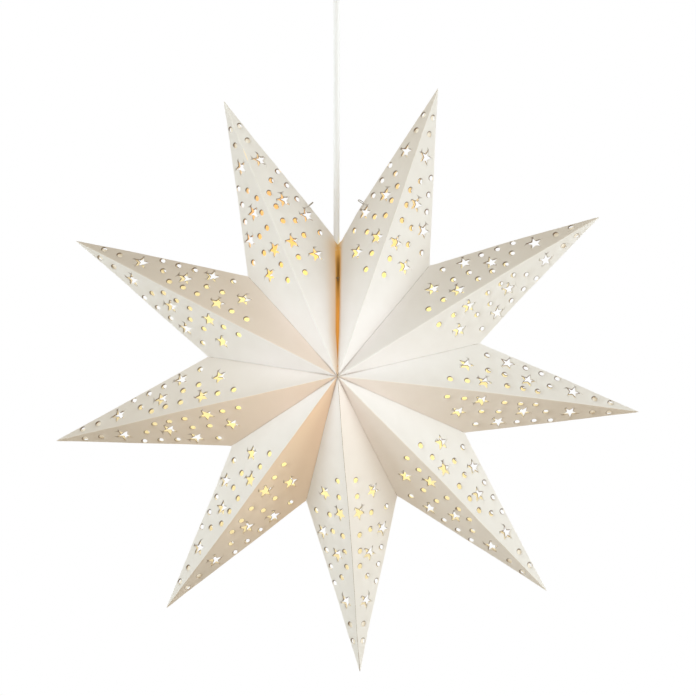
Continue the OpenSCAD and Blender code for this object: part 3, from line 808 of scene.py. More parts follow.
    def seeds(self, ridge: np.ndarray, edge: np.ndarray,
              rims: list[np.ndarray]) -> list[tuple[np.ndarray, float]]:
        """Gives the places that the panel gets between its outline and its cut-outs.

        Args:
            ridge: places along the ridge.
            edge: places along the outer edge.
            rims: rings round the cut-outs.

        Returns:
            Sets of places, each with its least distance from all before it.
        """
        fold = self.row(self.flat_notch, self.flat_apex)[1:-1]
        inward = np.array([self.edge_dir[1], -self.edge_dir[0]])
        rows = [fold + gap * self.to_panel
                for gap in (self.SEAM_ROWS if self.seam else self.FOLD_ROWS)]
        rows += [fold - gap * self.to_panel for gap in self.FLAP_ROWS]
        for gap in self.FOLD_ROWS:
            rows += [ridge[1:-1] + (0, gap), edge[1:-1] + gap * inward]
        run = np.arange(0, self.GRID_SIZE[0], self.GRID)
        lines = np.arange(0, self.GRID_SIZE[1], self.GRID * self.ROW_SHARE)
        grid = np.concatenate([np.stack([run + (i % 2) * self.GRID / 2, np.full(len(run), t)], 1)
                               for i, t in enumerate(lines)])
        return ([(fold, self.FOLD_GAP)] + [(rim, self.RIM_GAP) for rim in rims]
                + [(row, self.ROW_GAP) for row in rows] + [(grid, self.GRID_GAP)])

    def cut(self) -> tuple[np.ndarray, np.ndarray, np.ndarray, np.ndarray]:
        """Cuts the panel into triangles round its cut-outs.

        Returns:
            The flat places, the triangles, the number of the ring that each place is on, and the
            direction out of its cut-out.
        """
        ridge = np.arange(0, self.flat_apex[0] - 1.5, self.STEP)
        ridge = np.concatenate([np.stack([ridge, 0 * ridge], 1), self.flat_apex[None]])
        edge = self.row(np.zeros(2), self.flat_notch)
        flap = self.flap_outline()
        near_apex = self.row(self.flat_apex, flap[0])[1:-1]
        near_notch = self.row(flap[-1], self.flat_notch)[1:-1]
        outline = np.concatenate([ridge, near_apex, flap, near_notch, edge[::-1][:-1]])
        rings = [[self.star_outline(p, grow) for p in self.STARS]
                 + [self.dot_outline(p, grow) for p in self.DOTS] for grow, _, _ in self.RINGS]
        holes = rings[0]
        kept, lines, start = np.concatenate([outline] + holes), [], 0
        for loop in [outline] + holes:
            lines += [(start + i, start + (i + 1) % len(loop)) for i in range(len(loop))]
            start += len(loop)
        for places, gap in self.seeds(ridge, edge, rings[1] + rings[2]):
            places = places[self.on_card(places, outline, holes)]
            if len(places):
                distance = np.linalg.norm(places[:, None] - kept[None], axis=2).min(1)
                kept = np.concatenate([kept, places[distance > gap]])
        made = geometry.delaunay_2d_cdt([Vector(p) for p in kept.tolist()], lines, [], 0, 1e-6)
        places = np.array([tuple(p) for p in made[0]])
        triangles = np.array([t for t in made[2] if len(t) == 3])
        keep = self.on_card(places[triangles].mean(1), outline, holes)
        rim, way = np.full(len(places), len(self.RINGS) - 1), np.zeros((len(places), 2))
        for level, ring in enumerate(rings[:-1]):
            for loop in ring:
                distance = np.linalg.norm(places[:, None] - loop[None], axis=2)
                on = distance.min(1) < 0.01
                rim[on], way[on] = level, self.outward(loop)[distance.argmin(1)[on]]
        return places, triangles[keep], rim, way

    def fold_width(self, flat: np.ndarray, along: np.ndarray) -> np.ndarray:
        """How softly the card bends at the valley, which is widest beside the seam's notch.

        Args:
            flat: places in the flat.
            along: their distances from the notch along the valley.

        Returns:
            The width of the bend at each place, in millimetres.
        """
        if self.seam is None:
            return np.full(len(flat), self.shape.valley_w)
        left = self.left(along)
        most = self.seam.least_roll + self.seam.roll * left ** self.seam.roll_power
        return np.clip(self.cord_depth(along), 0.05, most * np.clip(left * 6, 0.05, 1))

    def seam_slide(self, flat: np.ndarray, gap: np.ndarray, along: np.ndarray,
                   wide: np.ndarray) -> np.ndarray:
        """Slides the card toward the seam, so that its flaps meet in a groove before the cord.

        Args:
            flat: the places in the flat.
            gap: their distances from the fold.
            along: their distances from the notch along the fold.
            wide: how softly the card bends there.

        Returns:
            The shift at each place, in millimetres.
        """
        shape, seam = self.shape, self.seam
        turn = math.radians(shape.span / 2 + shape.seam_angle / 2)
        side = np.array([-math.cos(turn), 0, math.sin(turn)])
        fold = flat - gap[:, None] * self.to_panel
        now = (self.tip + fold[:, :1] * self.ridge + fold[:, 1:] * self.away) @ side
        from_notch = np.clip(along, 0, None)
        depth = shape.half_depth * from_notch / self.valley_length
        left = self.left(along)
        least = ((shape.groove_low + shape.groove_more * left)
                 * np.clip((left - seam.groove_end) * seam.groove_rise, seam.groove_least, 1))
        aim = np.sqrt(np.maximum(shape.cord_room ** 2 - depth ** 2, least ** 2))
        inward = np.where(depth > shape.cord_room,
                          (aim - shape.seam_gap) * self.closed(gap, along, 0.3), 0)
        aim = aim + seam.corner * bell(from_notch, seam.corner_width)
        slide = (now - aim) / (self.in_3d @ side) + wide / 2
        slide = slide * bell(np.maximum(gap, 0), seam.slide_width)
        return -slide[:, None] * self.in_3d - np.maximum(inward, 0)[:, None] * side

    def marks(self, flat: np.ndarray, gap: np.ndarray, along: np.ndarray,
              to_apex: np.ndarray) -> dict[str, np.ndarray]:
        """Says where the card gets painted highlights, painted shade, painted light and singe.

        Args:
            flat: the places in the flat.
            gap: their distances from the valley fold.
            along: their distances from the notch along the fold.
            to_apex: their distances from the apex.

        Returns:
            The strength of each mark at each place, by name.
        """
        none, on_panel = 0 * gap, gap > -0.1
        # The fold mark is a painted highlight: lighter card along the ridge and, fainter, along the
        # outer edge, where the rounded folds catch light.
        folds = np.maximum(bell(flat[:, 1], 0.7) * on_panel * 0.8,
                           bell(self.edge_gap(flat), 0.7) * on_panel * 0.4)
        # The groove mark is painted shade: darker, warmer card along each valley, strongest near
        # the apex.
        marks = {"fold": folds, "singe_and_rim_shade": none, "seam": none, "core": none, "flap": none,
                 "painted_seam_glow": none, "groove": bell(gap, 0.8) * (0.02 + 0.7 * bell(to_apex, 24))}
        if self.seam:
            left = np.clip(1 - along / self.length, 0, 1)
            seam_shade_width = self.seam.least_tint + self.seam.tint * left ** self.seam.tint_power
            closed = self.closed(gap, along, 0.4)
            ends = np.clip(along / 10, 0, 1)
            # Painted light in the seam: a warm tint, and the mask for the flaps' emission, for the
            # bulb's light coming through them.
            painted_seam_glow = np.clip((0.1 - gap) / 0.4, 0, 1) * ends
            # The seam mark is painted shade: warm tan card beside the seam, fading away from its
            # fold.
            marks["seam"] = bell(np.maximum(gap, 0), seam_shade_width) * (0.35 + 0.65 * ends)
            marks["painted_seam_glow"] = painted_seam_glow
            # The core mark is a painted shadow: dark brown deep in the seam, where the flaps meet.
            marks["core"] = ramp(closed, 0.15, 0.4) * ends * (0.1 + 0.9 * bell(along - 40, 20))
            marks["flap"] = painted_seam_glow * (0.3 + 0.7 * closed * ramp(along, 55, 35)
                                    + 0.4 * bell(along - 16, 7))
            marks["groove"] *= to_apex < 30
        return marks

    def folded(self) -> tuple[np.ndarray, np.ndarray, dict[str, np.ndarray]]:
        """Folds the panel into its place on the front, on the clockwise side of its point.

        Returns:
            The places with sharp folds, the shift that rounds the folds, and the marks on the
            card by name.
        """
        flat = self.points
        gap = self.valley_gap(flat)
        along = (flat - self.flat_notch) @ self.valley_dir
        to_apex = np.linalg.norm(flat - self.flat_apex, axis=1)
        beyond = np.minimum(gap, 0)[:, None]
        to_centre = np.linalg.norm(flat - (self.length, 0), axis=1)
        longer = np.clip((self.CLOSING_FROM - to_centre) / self.CLOSING_RUN, 0, 1)
        flat = flat * (1 + self.closing * longer)[:, None]
        on_panel = flat - beyond * self.to_panel
        place = (self.tip + on_panel[:, :1] * self.ridge + on_panel[:, 1:] * self.away
                 - beyond * self.flap_dir)
        wide = self.fold_width(flat, along)
        shift = rounding(np.abs(gap), wide)[:, None] * (self.in_3d + self.flap_dir)
        if self.seam:
            shift += self.seam_slide(flat, gap, along, wide)
        to_end = np.minimum(np.linalg.norm(flat, axis=1), to_apex)
        width = self.shape.fold_w * np.clip(to_end / self.FOLD_END, 0.02, 1)
        inward = self.edge_dir[1] * self.ridge - self.edge_dir[0] * self.away
        for distance, way, mirror in ((flat[:, 1], self.away, (-1, 1, 1)),
                                      (np.maximum(self.edge_gap(flat), 0), inward, (1, -1, 1))):
            distance = np.where(gap >= 0, distance, self.FAR)
            shift += rounding(distance, width)[:, None] * (way + way * np.array(mirror))
        pressed = np.array([ring[1] for ring in self.RINGS])[self.rim]
        shift -= pressed[:, None] * self.out
        return place, shift, self.marks(flat, gap, along, to_apex)

    def tab(self) -> tuple[np.ndarray, list]:
        """The tab inside the tip that glues the two faces, just under the front panel.

        Returns:
            Its places in two layers, and its faces.
        """
        rows, across = np.arange(*self.TAB_ROWS), np.array(self.TAB_ACROSS)
        reach = np.minimum(self.TAB_SHARE * rows * self.edge_dir[1] / self.edge_dir[0],
                           self.TAB_MOST)
        edge = rows[:, None] * self.edge_dir / self.edge_dir[0]
        flat = edge[:, None] - (reach[:, None] * across)[:, :, None] * (0, 1)
        layers = [(self.tip + flat[..., :1] * self.ridge + flat[..., 1:] * self.away
                   - (self.shape.card / 2 + under) * self.out).reshape(-1, 3)
                  for under in self.TAB_LAYERS]
        faces, wide, count = [], len(across), len(rows) * len(across)
        for i in range(len(rows) - 1):
            for j in range(wide - 1):
                a = i * wide + j
                quad = (a, a + 1, a + wide + 1, a + wide)
                faces += [quad, tuple(count + k for k in quad[::-1])]
        rim = ([(i, i + 1) for i in range(wide - 1)]
               + [((i + 1) * wide - 1, (i + 2) * wide - 1) for i in range(len(rows) - 1)]
               + [(count - 1 - i, count - 2 - i) for i in range(wide - 1)]
               + [((i + 1) * wide, i * wide) for i in range(len(rows) - 2, -1, -1)])
        faces += [(b, a, count + a, count + b) for a, b in rim]
        return np.concatenate(layers), faces


@dataclass
class FoldedPanel:
    """One folded panel in the star's frame, and the tab under it.

    Places have sharp folds, and the shifts round them. Marks are strengths by name.
    """

    places: np.ndarray
    shifts: np.ndarray
    out: np.ndarray
    triangles: np.ndarray
    marks: dict[str, np.ndarray]
    tab: np.ndarray
    tab_faces: list


@dataclass
class PaperStar:
    """The nine folded points of card, each on its own body."""

    shape: StarShape = field(default_factory=StarShape)
    wave_mm: float = 0.8
    wave_length: float = 95.0
    ripple_mm: float = 0.22
    ripple_length: float = 34.0
    wave_seed: int = 5
    # How far each tip, and each notch after it, lies from its ideal place, to the right and up.
    tip_drift: tuple = ((1.7, 0.0), (1.1, -3.9), (-2.6, 1.3), (0.2, 2.8), (0.5, -1.8),
                        (-0.5, 1.0), (-1.2, -1.1), (-3.5, -1.2), (-1.3, -1.3))
    notch_drift: tuple = ((2.1, 0.1), (2.8, 0.9), (-0.3, 3.2), (0.2, 2.4), (1.0, 1.4),
                          (0.1, 0.6), (-2.3, 0.5), (-3.0, -1.1), (0.0, 0.0))
    # A dent is a point, a side, a face, then distance along and from the ridge, radius and depth.
    dents: tuple = (
        (9, Side.CLOCKWISE, Face.FRONT, 62.0, 0.0, 9.0, 1.1),
        (9, Side.COUNTER, Face.FRONT, 62.0, 0.0, 9.0, 1.1),
        (8, Side.CLOCKWISE, Face.FRONT, 205.0, 6.0, 14.0, 0.7),
        (2, Side.CLOCKWISE, Face.FRONT, 120.0, 30.0, 22.0, 0.9),
        (6, Side.COUNTER, Face.FRONT, 190.0, 20.0, 20.0, 0.8),
        (4, Side.CLOCKWISE, Face.BACK, 150.0, 18.0, 20.0, 0.9),
        (7, Side.COUNTER, Face.BACK, 110.0, 16.0, 18.0, 0.8),
    )
    # Painted shade on panels turned away from the lamps: a point, a side, then how much grey-tan
    # shows at the tip and how much warm honey toward the middle.
    painted_shade_panels: tuple = (
        (1, Side.COUNTER, 0.5, 0.0), (2, Side.COUNTER, 0.5, 0.0), (3, Side.CLOCKWISE, 1.0, 0.25),
        (4, Side.CLOCKWISE, 0.5, 0.25), (5, Side.COUNTER, 0.1, 0.2), (6, Side.COUNTER, 1.0, 0.95),
        (7, Side.CLOCKWISE, 0.45, 0.1), (7, Side.COUNTER, 1.0, 0.6), (8, Side.CLOCKWISE, 0.7, 0.4),
    )
    # Where the painted shade at the tip ends, and how long it takes to turn into the middle's.
    tone_from: float = 60.0
    tone_run: float = 205.0
    # Painted shade on the singe: it is strongest on the side of each cut-out that lies this way,
    # up and to the left.
    rim_shade_way: tuple[float, float, float] = (-0.62, 0.0, 0.78)
    rim_shade_strength: float = 1.6
    # Painted shadow of the lampholder on the inside of the points beside the seam, which makes the
    # card warmer and darker about half way along.
    holder_shadows: tuple = ((9, 1.0), (1, 0.4))
    holder_shadow_at: float = 140.0
    holder_shadow_width: float = 70.0

    def __post_init__(self) -> None:
        """Cuts the three kinds of panel once, and fixes the noise so that each run is the same."""
        noise.seed_set(self.wave_seed)
        self.glued = FlatPanel(self.shape)
        self.beside_seam = {
            (9, Side.CLOCKWISE): FlatPanel(self.shape, SeamEdge(1.6, 0.0, 9.0)),
            (1, Side.COUNTER): FlatPanel(self.shape, SeamEdge(0.5, 3.0, 1.5))}

    def drift(self, number: int, places: np.ndarray) -> np.ndarray:
        """Shift of hand-folded card from its ideal place, the same for neighbours at a joint.

        Args:
            number: the point that the places belong to.
            places: places in the star's frame.

        Returns:
            A shift for each place, in millimetres.
        """
        shape = self.shape
        notches = [(math.degrees(shape.turn(n)) + shape.span / 2) % 360 for n in range(1, 10)]

        def at_notches(around: np.ndarray | float) -> list[np.ndarray]:
            """Drift to the right and up of the notches at an angle."""
            return [np.interp(around, notches, [d[k] for d in self.notch_drift], period=360)
                    for k in range(2)]

        out = np.hypot(places[:, 0], places[:, 2])
        around = np.degrees(np.arctan2(places[:, 0], places[:, 2])) % 360
        root = (np.stack(at_notches(around), 1)
                * np.clip(out / shape.notch_radius, 0, 1)[:, None])
        own = np.array(at_notches(math.degrees(shape.turn(number)) % 360))
        reach = ramp(out, shape.notch_radius, shape.tip_radius - shape.notch_radius)
        flat = root + (reach ** 1.5)[:, None] * (np.array(self.tip_drift[number - 1]) - own)
        return np.stack([flat[:, 0], 0 * out, flat[:, 1]], 1)

    def waver(self, places: np.ndarray) -> np.ndarray:
        """Slow uneven shift of the card, the same for neighbours, so that joints stay closed.

        Args:
            places: places in the star's frame.

        Returns:
            A shift for each place, in millimetres.
        """
        shift = np.empty_like(places)
        for i, p in enumerate(places):
            wave = noise.noise_vector(Vector(p) / self.wave_length + Vector((3.1, 7.7, 1.9)))
            ripple = noise.noise_vector(Vector(p) / self.ripple_length + Vector((9.4, 2.3, 5.6)))
            shift[i] = wave * self.wave_mm + ripple * self.ripple_mm
        return shift

    def lamp_light(self, places: np.ndarray, out: np.ndarray) -> np.ndarray:
        """How strongly the bulb lights the inner face of the card.

        Args:
            places: places on the card in the star's frame.
            out: the card's outward direction at each place.

        Returns:
            Light from 0 to about 1.
        """
        ray = places - np.array(self.shape.bulb_in_star)
        far = np.linalg.norm(ray, axis=1)
        facing = np.clip((ray * out).sum(1) / far, 0, 1)
        direct = facing * (75 / far) ** 2
        spread = 0.55 * np.exp(-np.linalg.norm(places, axis=1) / 130)
        return np.clip(direct + spread, 0, 1)

    def panel(self, number: int, side: Side, face: Face) -> FoldedPanel:
        """Folds one panel into the star's frame.

        Args:
            number: the point that it belongs to.
            side: the side of the point.
            face: front or back.

        Returns:
            The folded panel.
        """
        flat = self.beside_seam.get((number, side), self.glued)
        place, shift, marks = flat.folded()
        for who, which, where, s, t, radius, depth in self.dents:
            if (who, which, where) == (number, side, face):
                reach = np.linalg.norm(flat.points - (s, t), axis=1) / radius
                shift -= (depth * np.exp(-reach ** 2))[:, None] * flat.out
        flip, spin = np.array([side.value, face.value, 1.0]), self.shape.spin(number)
        # The singe round each cut-out is darkened into painted shade on its side toward the up and
        # left.
        way = flat.rim_way[:, :1] * flat.ridge + flat.rim_way[:, 1:] * flat.away
        toward = ((way * flip) @ spin) @ np.array(self.rim_shade_way)
        singed = np.array([ring[2] for ring in flat.RINGS])[flat.rim]
        marks["singe_and_rim_shade"] = singed * np.clip(toward * self.rim_shade_strength, 0.0, 1)
        from_tip = flat.points[:, 0]
        inner = ramp(from_tip, self.tone_from, self.tone_run)
        # Painted shade on panels turned away from the lamps: grey-tan at the tip, warm honey toward
        # the middle.
        tan, painted_warm_shade = {tone[:2]: tone[2:] for tone in self.painted_shade_panels}.get((number, side), (0.0, 0.0))
        marks["tan"], marks["painted_warm_shade"] = tan * (1 - inner), painted_warm_shade * inner
        # Painted shadow of the lampholder on the inside of the points beside the seam.
        marks["painted_holder_shadow"] = (dict(self.holder_shadows).get(number, 0.0)
                          * bell(from_tip - self.holder_shadow_at, self.holder_shadow_width))
        tab, tab_faces = flat.tab()
        mirrored = side.value * face.value < 0
        return FoldedPanel((place * flip) @ spin, (shift * flip) @ spin,
                           np.broadcast_to((flat.out * flip) @ spin, place.shape),
                           flat.triangles[:, ::-1] if mirrored else flat.triangles, marks,
                           (tab * flip) @ spin,
                           [f[::-1] for f in tab_faces] if mirrored else tab_faces)

    def middle_layer(self, number: int, panels: list[FoldedPanel]) -> tuple[
            np.ndarray, np.ndarray, np.ndarray, dict[str, np.ndarray]]:
        """Welds the panels of a point into one layer, in the middle of the card.

        Args:
            number: the point's number.
            panels: its folded panels.

        Returns:
            The places, their outward directions, the triangles and the marks by name.
        """
        places = np.concatenate([panel.places for panel in panels])
        _, first, index = np.unique(np.round(places, 3), axis=0, return_index=True,
                                    return_inverse=True)
        index = index.reshape(-1)
        total = len(first)
        shift, out = np.zeros((2, total, 3))
        np.add.at(shift, index, np.concatenate([panel.shifts for panel in panels]))
        np.add.at(out, index, np.concatenate([panel.out for panel in panels]))
        marks = {key: np.zeros(total) for key in panels[0].marks}
        for key, values in marks.items():
            np.maximum.at(values, index, np.concatenate([p.marks[key] for p in panels]))
        starts = np.cumsum([0] + [len(panel.places) for panel in panels])
        triangles = np.concatenate([index[start + panel.triangles]
                                    for start, panel in zip(starts, panels)])
        # Slivers on a shared fold come once from each panel, lie on each other and close nothing.
        _, same, times = np.unique(np.sort(triangles, axis=1), axis=0, return_inverse=True,
                                   return_counts=True)
        triangles = triangles[times[same.reshape(-1)] == 1]
        ideal, count = places[first], np.bincount(index, minlength=total)[:, None]
        middle = ideal + shift / count + self.waver(ideal) + self.drift(number, ideal)
        corner = middle[triangles]
        flat_normal = np.cross(corner[:, 1] - corner[:, 0], corner[:, 2] - corner[:, 0])
        if (flat_normal * out[triangles[:, 0]]).sum() < 0:
            triangles, flat_normal = triangles[:, ::-1], -flat_normal
        normal = np.zeros_like(middle)
        for k in range(3):
            np.add.at(normal, triangles[:, k], flat_normal)
        normal /= np.maximum(np.linalg.norm(normal, axis=1), 1e-12)[:, None]
        used, triangles = np.unique(triangles, return_inverse=True)
        marks = {key: values[used] for key, values in marks.items()}
        return middle[used], normal[used], triangles.reshape(-1, 3), marks

    def point(self, name: str, number: int, sides: tuple[Side, ...],
              finishes: list[bpy.types.Material]) -> bpy.types.Object:
        """Builds one hollow point, or one side of it.

        Args:
            name: the piece's name.
            number: the point's number, clockwise from the seam.
            sides: the sides of the point that the piece has.
            finishes: materials of the outside, the inside and the cut edges.

        Returns:
            The piece, in the frame of the solids.
        """
        panels = [self.panel(number, side, face) for side in sides for face in Face]
        middle, normal, triangles, marks = self.middle_layer(number, panels)
        total, half = len(middle), self.shape.card / 2
        tabs = [panel.tab + self.waver(panel.tab) + self.drift(number, panel.tab)
                for panel in panels[::2]]
        points = np.concatenate([middle + half * normal, middle - half * normal] + tabs)
        ends = set(map(tuple, np.concatenate([triangles[:, (0, 1)], triangles[:, (1, 2)],
                                              triangles[:, (2, 0)]]).tolist()))
        rim = sorted((a, b) for a, b in ends if (b, a) not in ends)
        faces = [tuple(t) for t in triangles.tolist()]
        faces += [tuple(total + i for i in t[::-1]) for t in triangles.tolist()]
        faces += [(b, a, a + total, b + total) for a, b in rim]
        slots = [0] * len(triangles) + [1] * len(triangles) + [2] * len(rim)
        start = 2 * total
        for panel in panels[::2]:
            faces += [tuple(start + i for i in f) for f in panel.tab_faces]
            slots += [1] * len(panel.tab_faces)
            start += len(panel.tab)
        piece = new_mesh(name, self.shape.to_row(points), faces, finishes, slots)
        marks["glow"] = self.lamp_light(middle, normal)
        for key, values in marks.items():
            store = piece.data.attributes.new(key, "FLOAT", "POINT")
            both = np.concatenate([values, values, np.zeros(len(points) - 2 * total)])
            store.data.foreach_set("value", both.astype(np.float32))
        return piece

    def build(self) -> None:
        """Builds all nine points and rides them on their bodies, each with its own mesh."""
        finishes = [CARD_OUTSIDE.make(), CARD_INSIDE.make(), CARD_CUT.make()]
        for material in finishes:
            material.cycles.emission_sampling = "NONE"
        both = (Side.CLOCKWISE, Side.COUNTER)
        for number in range(1, 10):
            parts = [(f"card_point_{number}", both, fold_joint(number))]
            if number == 5:
                parts = [("card_point_5_left", both[:1], "fold_left"),
                         ("card_point_5_right", both[1:], "fold_right")]
            for name, sides, joint in parts:
                piece = self.point(name, number, sides, finishes)
                stand_in(piece, "star" if number == 5 else f"side_{number}", f"point_{number}")
                self.shape.flatten(piece, number, joint)


@dataclass
class StarThreads:
    """The twisted thread that ties the seam, and the small loops on the edges beside it."""

    shape: StarShape
    ply_r: float = 0.27
    ply_offset: float = 0.24
    ply_sides: int = 6
    twist_mm: float = 3.2
    step: float = 0.4
    tie_half_w: float = 7.0
    tie_half_l: float = 23.5
    tie_dip: float = 11.0
    tie_bend: float = 3.0
    tie_pinch: float = 0.8
    knot_step: float = 0.35
    knot_set: float = 0.6
    loop_step: float = 0.3
    loop_rise: float = 42.0
    loop_set: float = 2.0
    loop_reach: float = 4.5
    loop_half: float = 4.6
    loop_bend: float = 1.8
    loop_tilt: float = 0.14

    @staticmethod
    def ring(half_w: float, half_l: float, bend: float, step: float) -> np.ndarray:
        """Closed rectangle with rounded corners, resampled evenly, in the x and y plane.

        Args:
            half_w: half its width along x.
            half_l: half its length along y.
            bend: the radius of its corners.
            step: the distance between its points.

        Returns:
            Its points, in order.
        """
        path = []
        for quarter in range(4):
            sx = 1 if quarter in (0, 3) else -1
            sy = 1 if quarter < 2 else -1
            for turn in np.linspace(0, math.pi / 2, 9) + quarter * math.pi / 2:
                path.append((sx * (half_w - bend) + bend * math.cos(turn),
                             sy * (half_l - bend) + bend * math.sin(turn), 0.0))
        return StarThreads.even(np.array(path + path[:1]), step)[:-1]

    @staticmethod
    def even(path: np.ndarray, step: float) -> np.ndarray:
        """The same path with evenly spaced points.

        Args:
            path: points along the path.
            step: the distance that the new ones keep, as nearly as fits.

        Returns:
            The new points.
        """
        run = np.concatenate([[0], np.cumsum(np.linalg.norm(np.diff(path, axis=0), axis=1))])
        where = np.linspace(0, run[-1], max(8, int(run[-1] / step)) + 1)
        return np.stack([np.interp(where, run, path[:, k]) for k in range(3)], 1)

    def twisted(self, path: np.ndarray, closed: bool) -> tuple[np.ndarray, list]:
        """Two plies twisted round each other along a path.

        Args:
            path: evenly spaced points along the thread.
            closed: whether the last point joins the first.

        Returns:
            The points and faces of both plies.
        """
        across, up = frames_along(path, closed)
        step = np.linalg.norm(path[1] - path[0])
        rate = 2 * math.pi * step / self.twist_mm
        if closed:
            turns = max(1, round(len(path) * step / self.twist_mm))
            rate = 2 * math.pi * turns / len(path)
        parts = []
        for ply in range(2):
            turn = np.arange(len(path)) * rate + ply * math.pi
            offset = np.cos(turn)[:, None] * across + np.sin(turn)[:, None] * up
            parts.append(tube(path + self.ply_offset * offset, self.ply_r, self.ply_sides,
                              closed))
        return joined(parts)

    def knot(self, at: np.ndarray) -> tuple[np.ndarray, list]:
        """A small overhand knot with two cut ends.

        Args:
            at: where its middle lies.

        Returns:
            Its points and faces.
        """
        turn = np.linspace(0.35, 2 * math.pi - 0.35, 60)
        path = np.stack([0.4 * (np.sin(turn) + 2 * np.sin(2 * turn)),
                         0.36 * -np.sin(3 * turn) - 0.4,
                         0.4 * (np.cos(turn) - 2 * np.cos(2 * turn))], 1)
        path = path + at
        lead = np.linspace(0, 1, 12)[:, None]
        start, end = [last + lead * 1.8 * np.array(way) + lead ** 2 * (0, 0, -0.8)
                      for last, way in ((path[0], (-0.5, -0.45, -1.0)),
                                        (path[-1], (0.6, -0.35, -0.9)))]
        whole = np.concatenate([start[::-1][:-1], path, end[1:]])
        return self.twisted(self.even(whole, self.knot_step), False)

    def tie(self) -> None:
        """Builds the waxed thread that ties the seam, narrow and low at its two ends."""
        ring = self.ring(self.tie_half_w, self.tie_half_l, self.tie_bend, self.step)
        ahead = np.clip(np.abs(ring[:, 1]) / self.tie_half_l, 0, 1)
        pinch = 1 - self.tie_pinch * np.clip(ahead * 2 - 1, 0, 1) ** 1.5
        ring = np.stack([ring[:, 0] * pinch, ring[:, 1], -self.tie_dip * ahead], 1)
        knot = self.knot(np.array([0, -self.tie_half_l + self.knot_set, -self.tie_dip]))
        points, faces = joined([self.twisted(self.even(ring, self.step), True), knot])
        points = self.shape.to_row(points + (0, 0, self.shape.tie_height))
        tie = new_mesh("seam_thread", points, faces, [WAXED_THREAD.make()])
        stand_in(tie, "star", "seam_tie")

    def edge_loop(self, number: int, mirror: float, finish: bpy.types.Material) -> None:
        """Builds one small loop on the outer edge beside the cord.

        Args:
            number: the point that it is tied to.
            mirror: 1 for the point's clockwise edge, or -1 for the other.
            finish: its material.
        """
        shape = self.shape
        half = math.radians(shape.span / 2)
        notch = shape.notch_radius * np.array([math.sin(half), 0, math.cos(half)])
        rise = np.array([0, 0, shape.tip_radius]) - notch
        rise /= np.linalg.norm(rise)
        out = np.array([rise[2], 0, -rise[0]])
        ring = self.ring((self.loop_reach + self.loop_set) / 2, self.loop_half,
                         self.loop_bend, self.loop_step)
        x, y = ring[:, 0] + (self.loop_reach - self.loop_set) / 2, ring[:, 1:2]
        places = (notch + self.loop_rise * rise + x[:, None] * out + y * (0, 1, 0)
                  + self.loop_tilt * y * rise)
        places = places * (mirror, 1, 1)
        points, faces = self.twisted(places @ shape.spin(number), True)
        loop = new_mesh(f"edge_thread_{number}", shape.to_row(points), faces, [finish])
        stand_in(loop, f"side_{number}", f"edge_loop_{number}")
        shape.flatten(loop, number, fold_joint(number))

    def build(self) -> None:
        """Builds the tie and the two small loops."""
        finish = THREAD.make()
        self.tie()
        for number, mirror in ((1, -1.0), (9, 1.0)):
            self.edge_loop(number, mirror, finish)


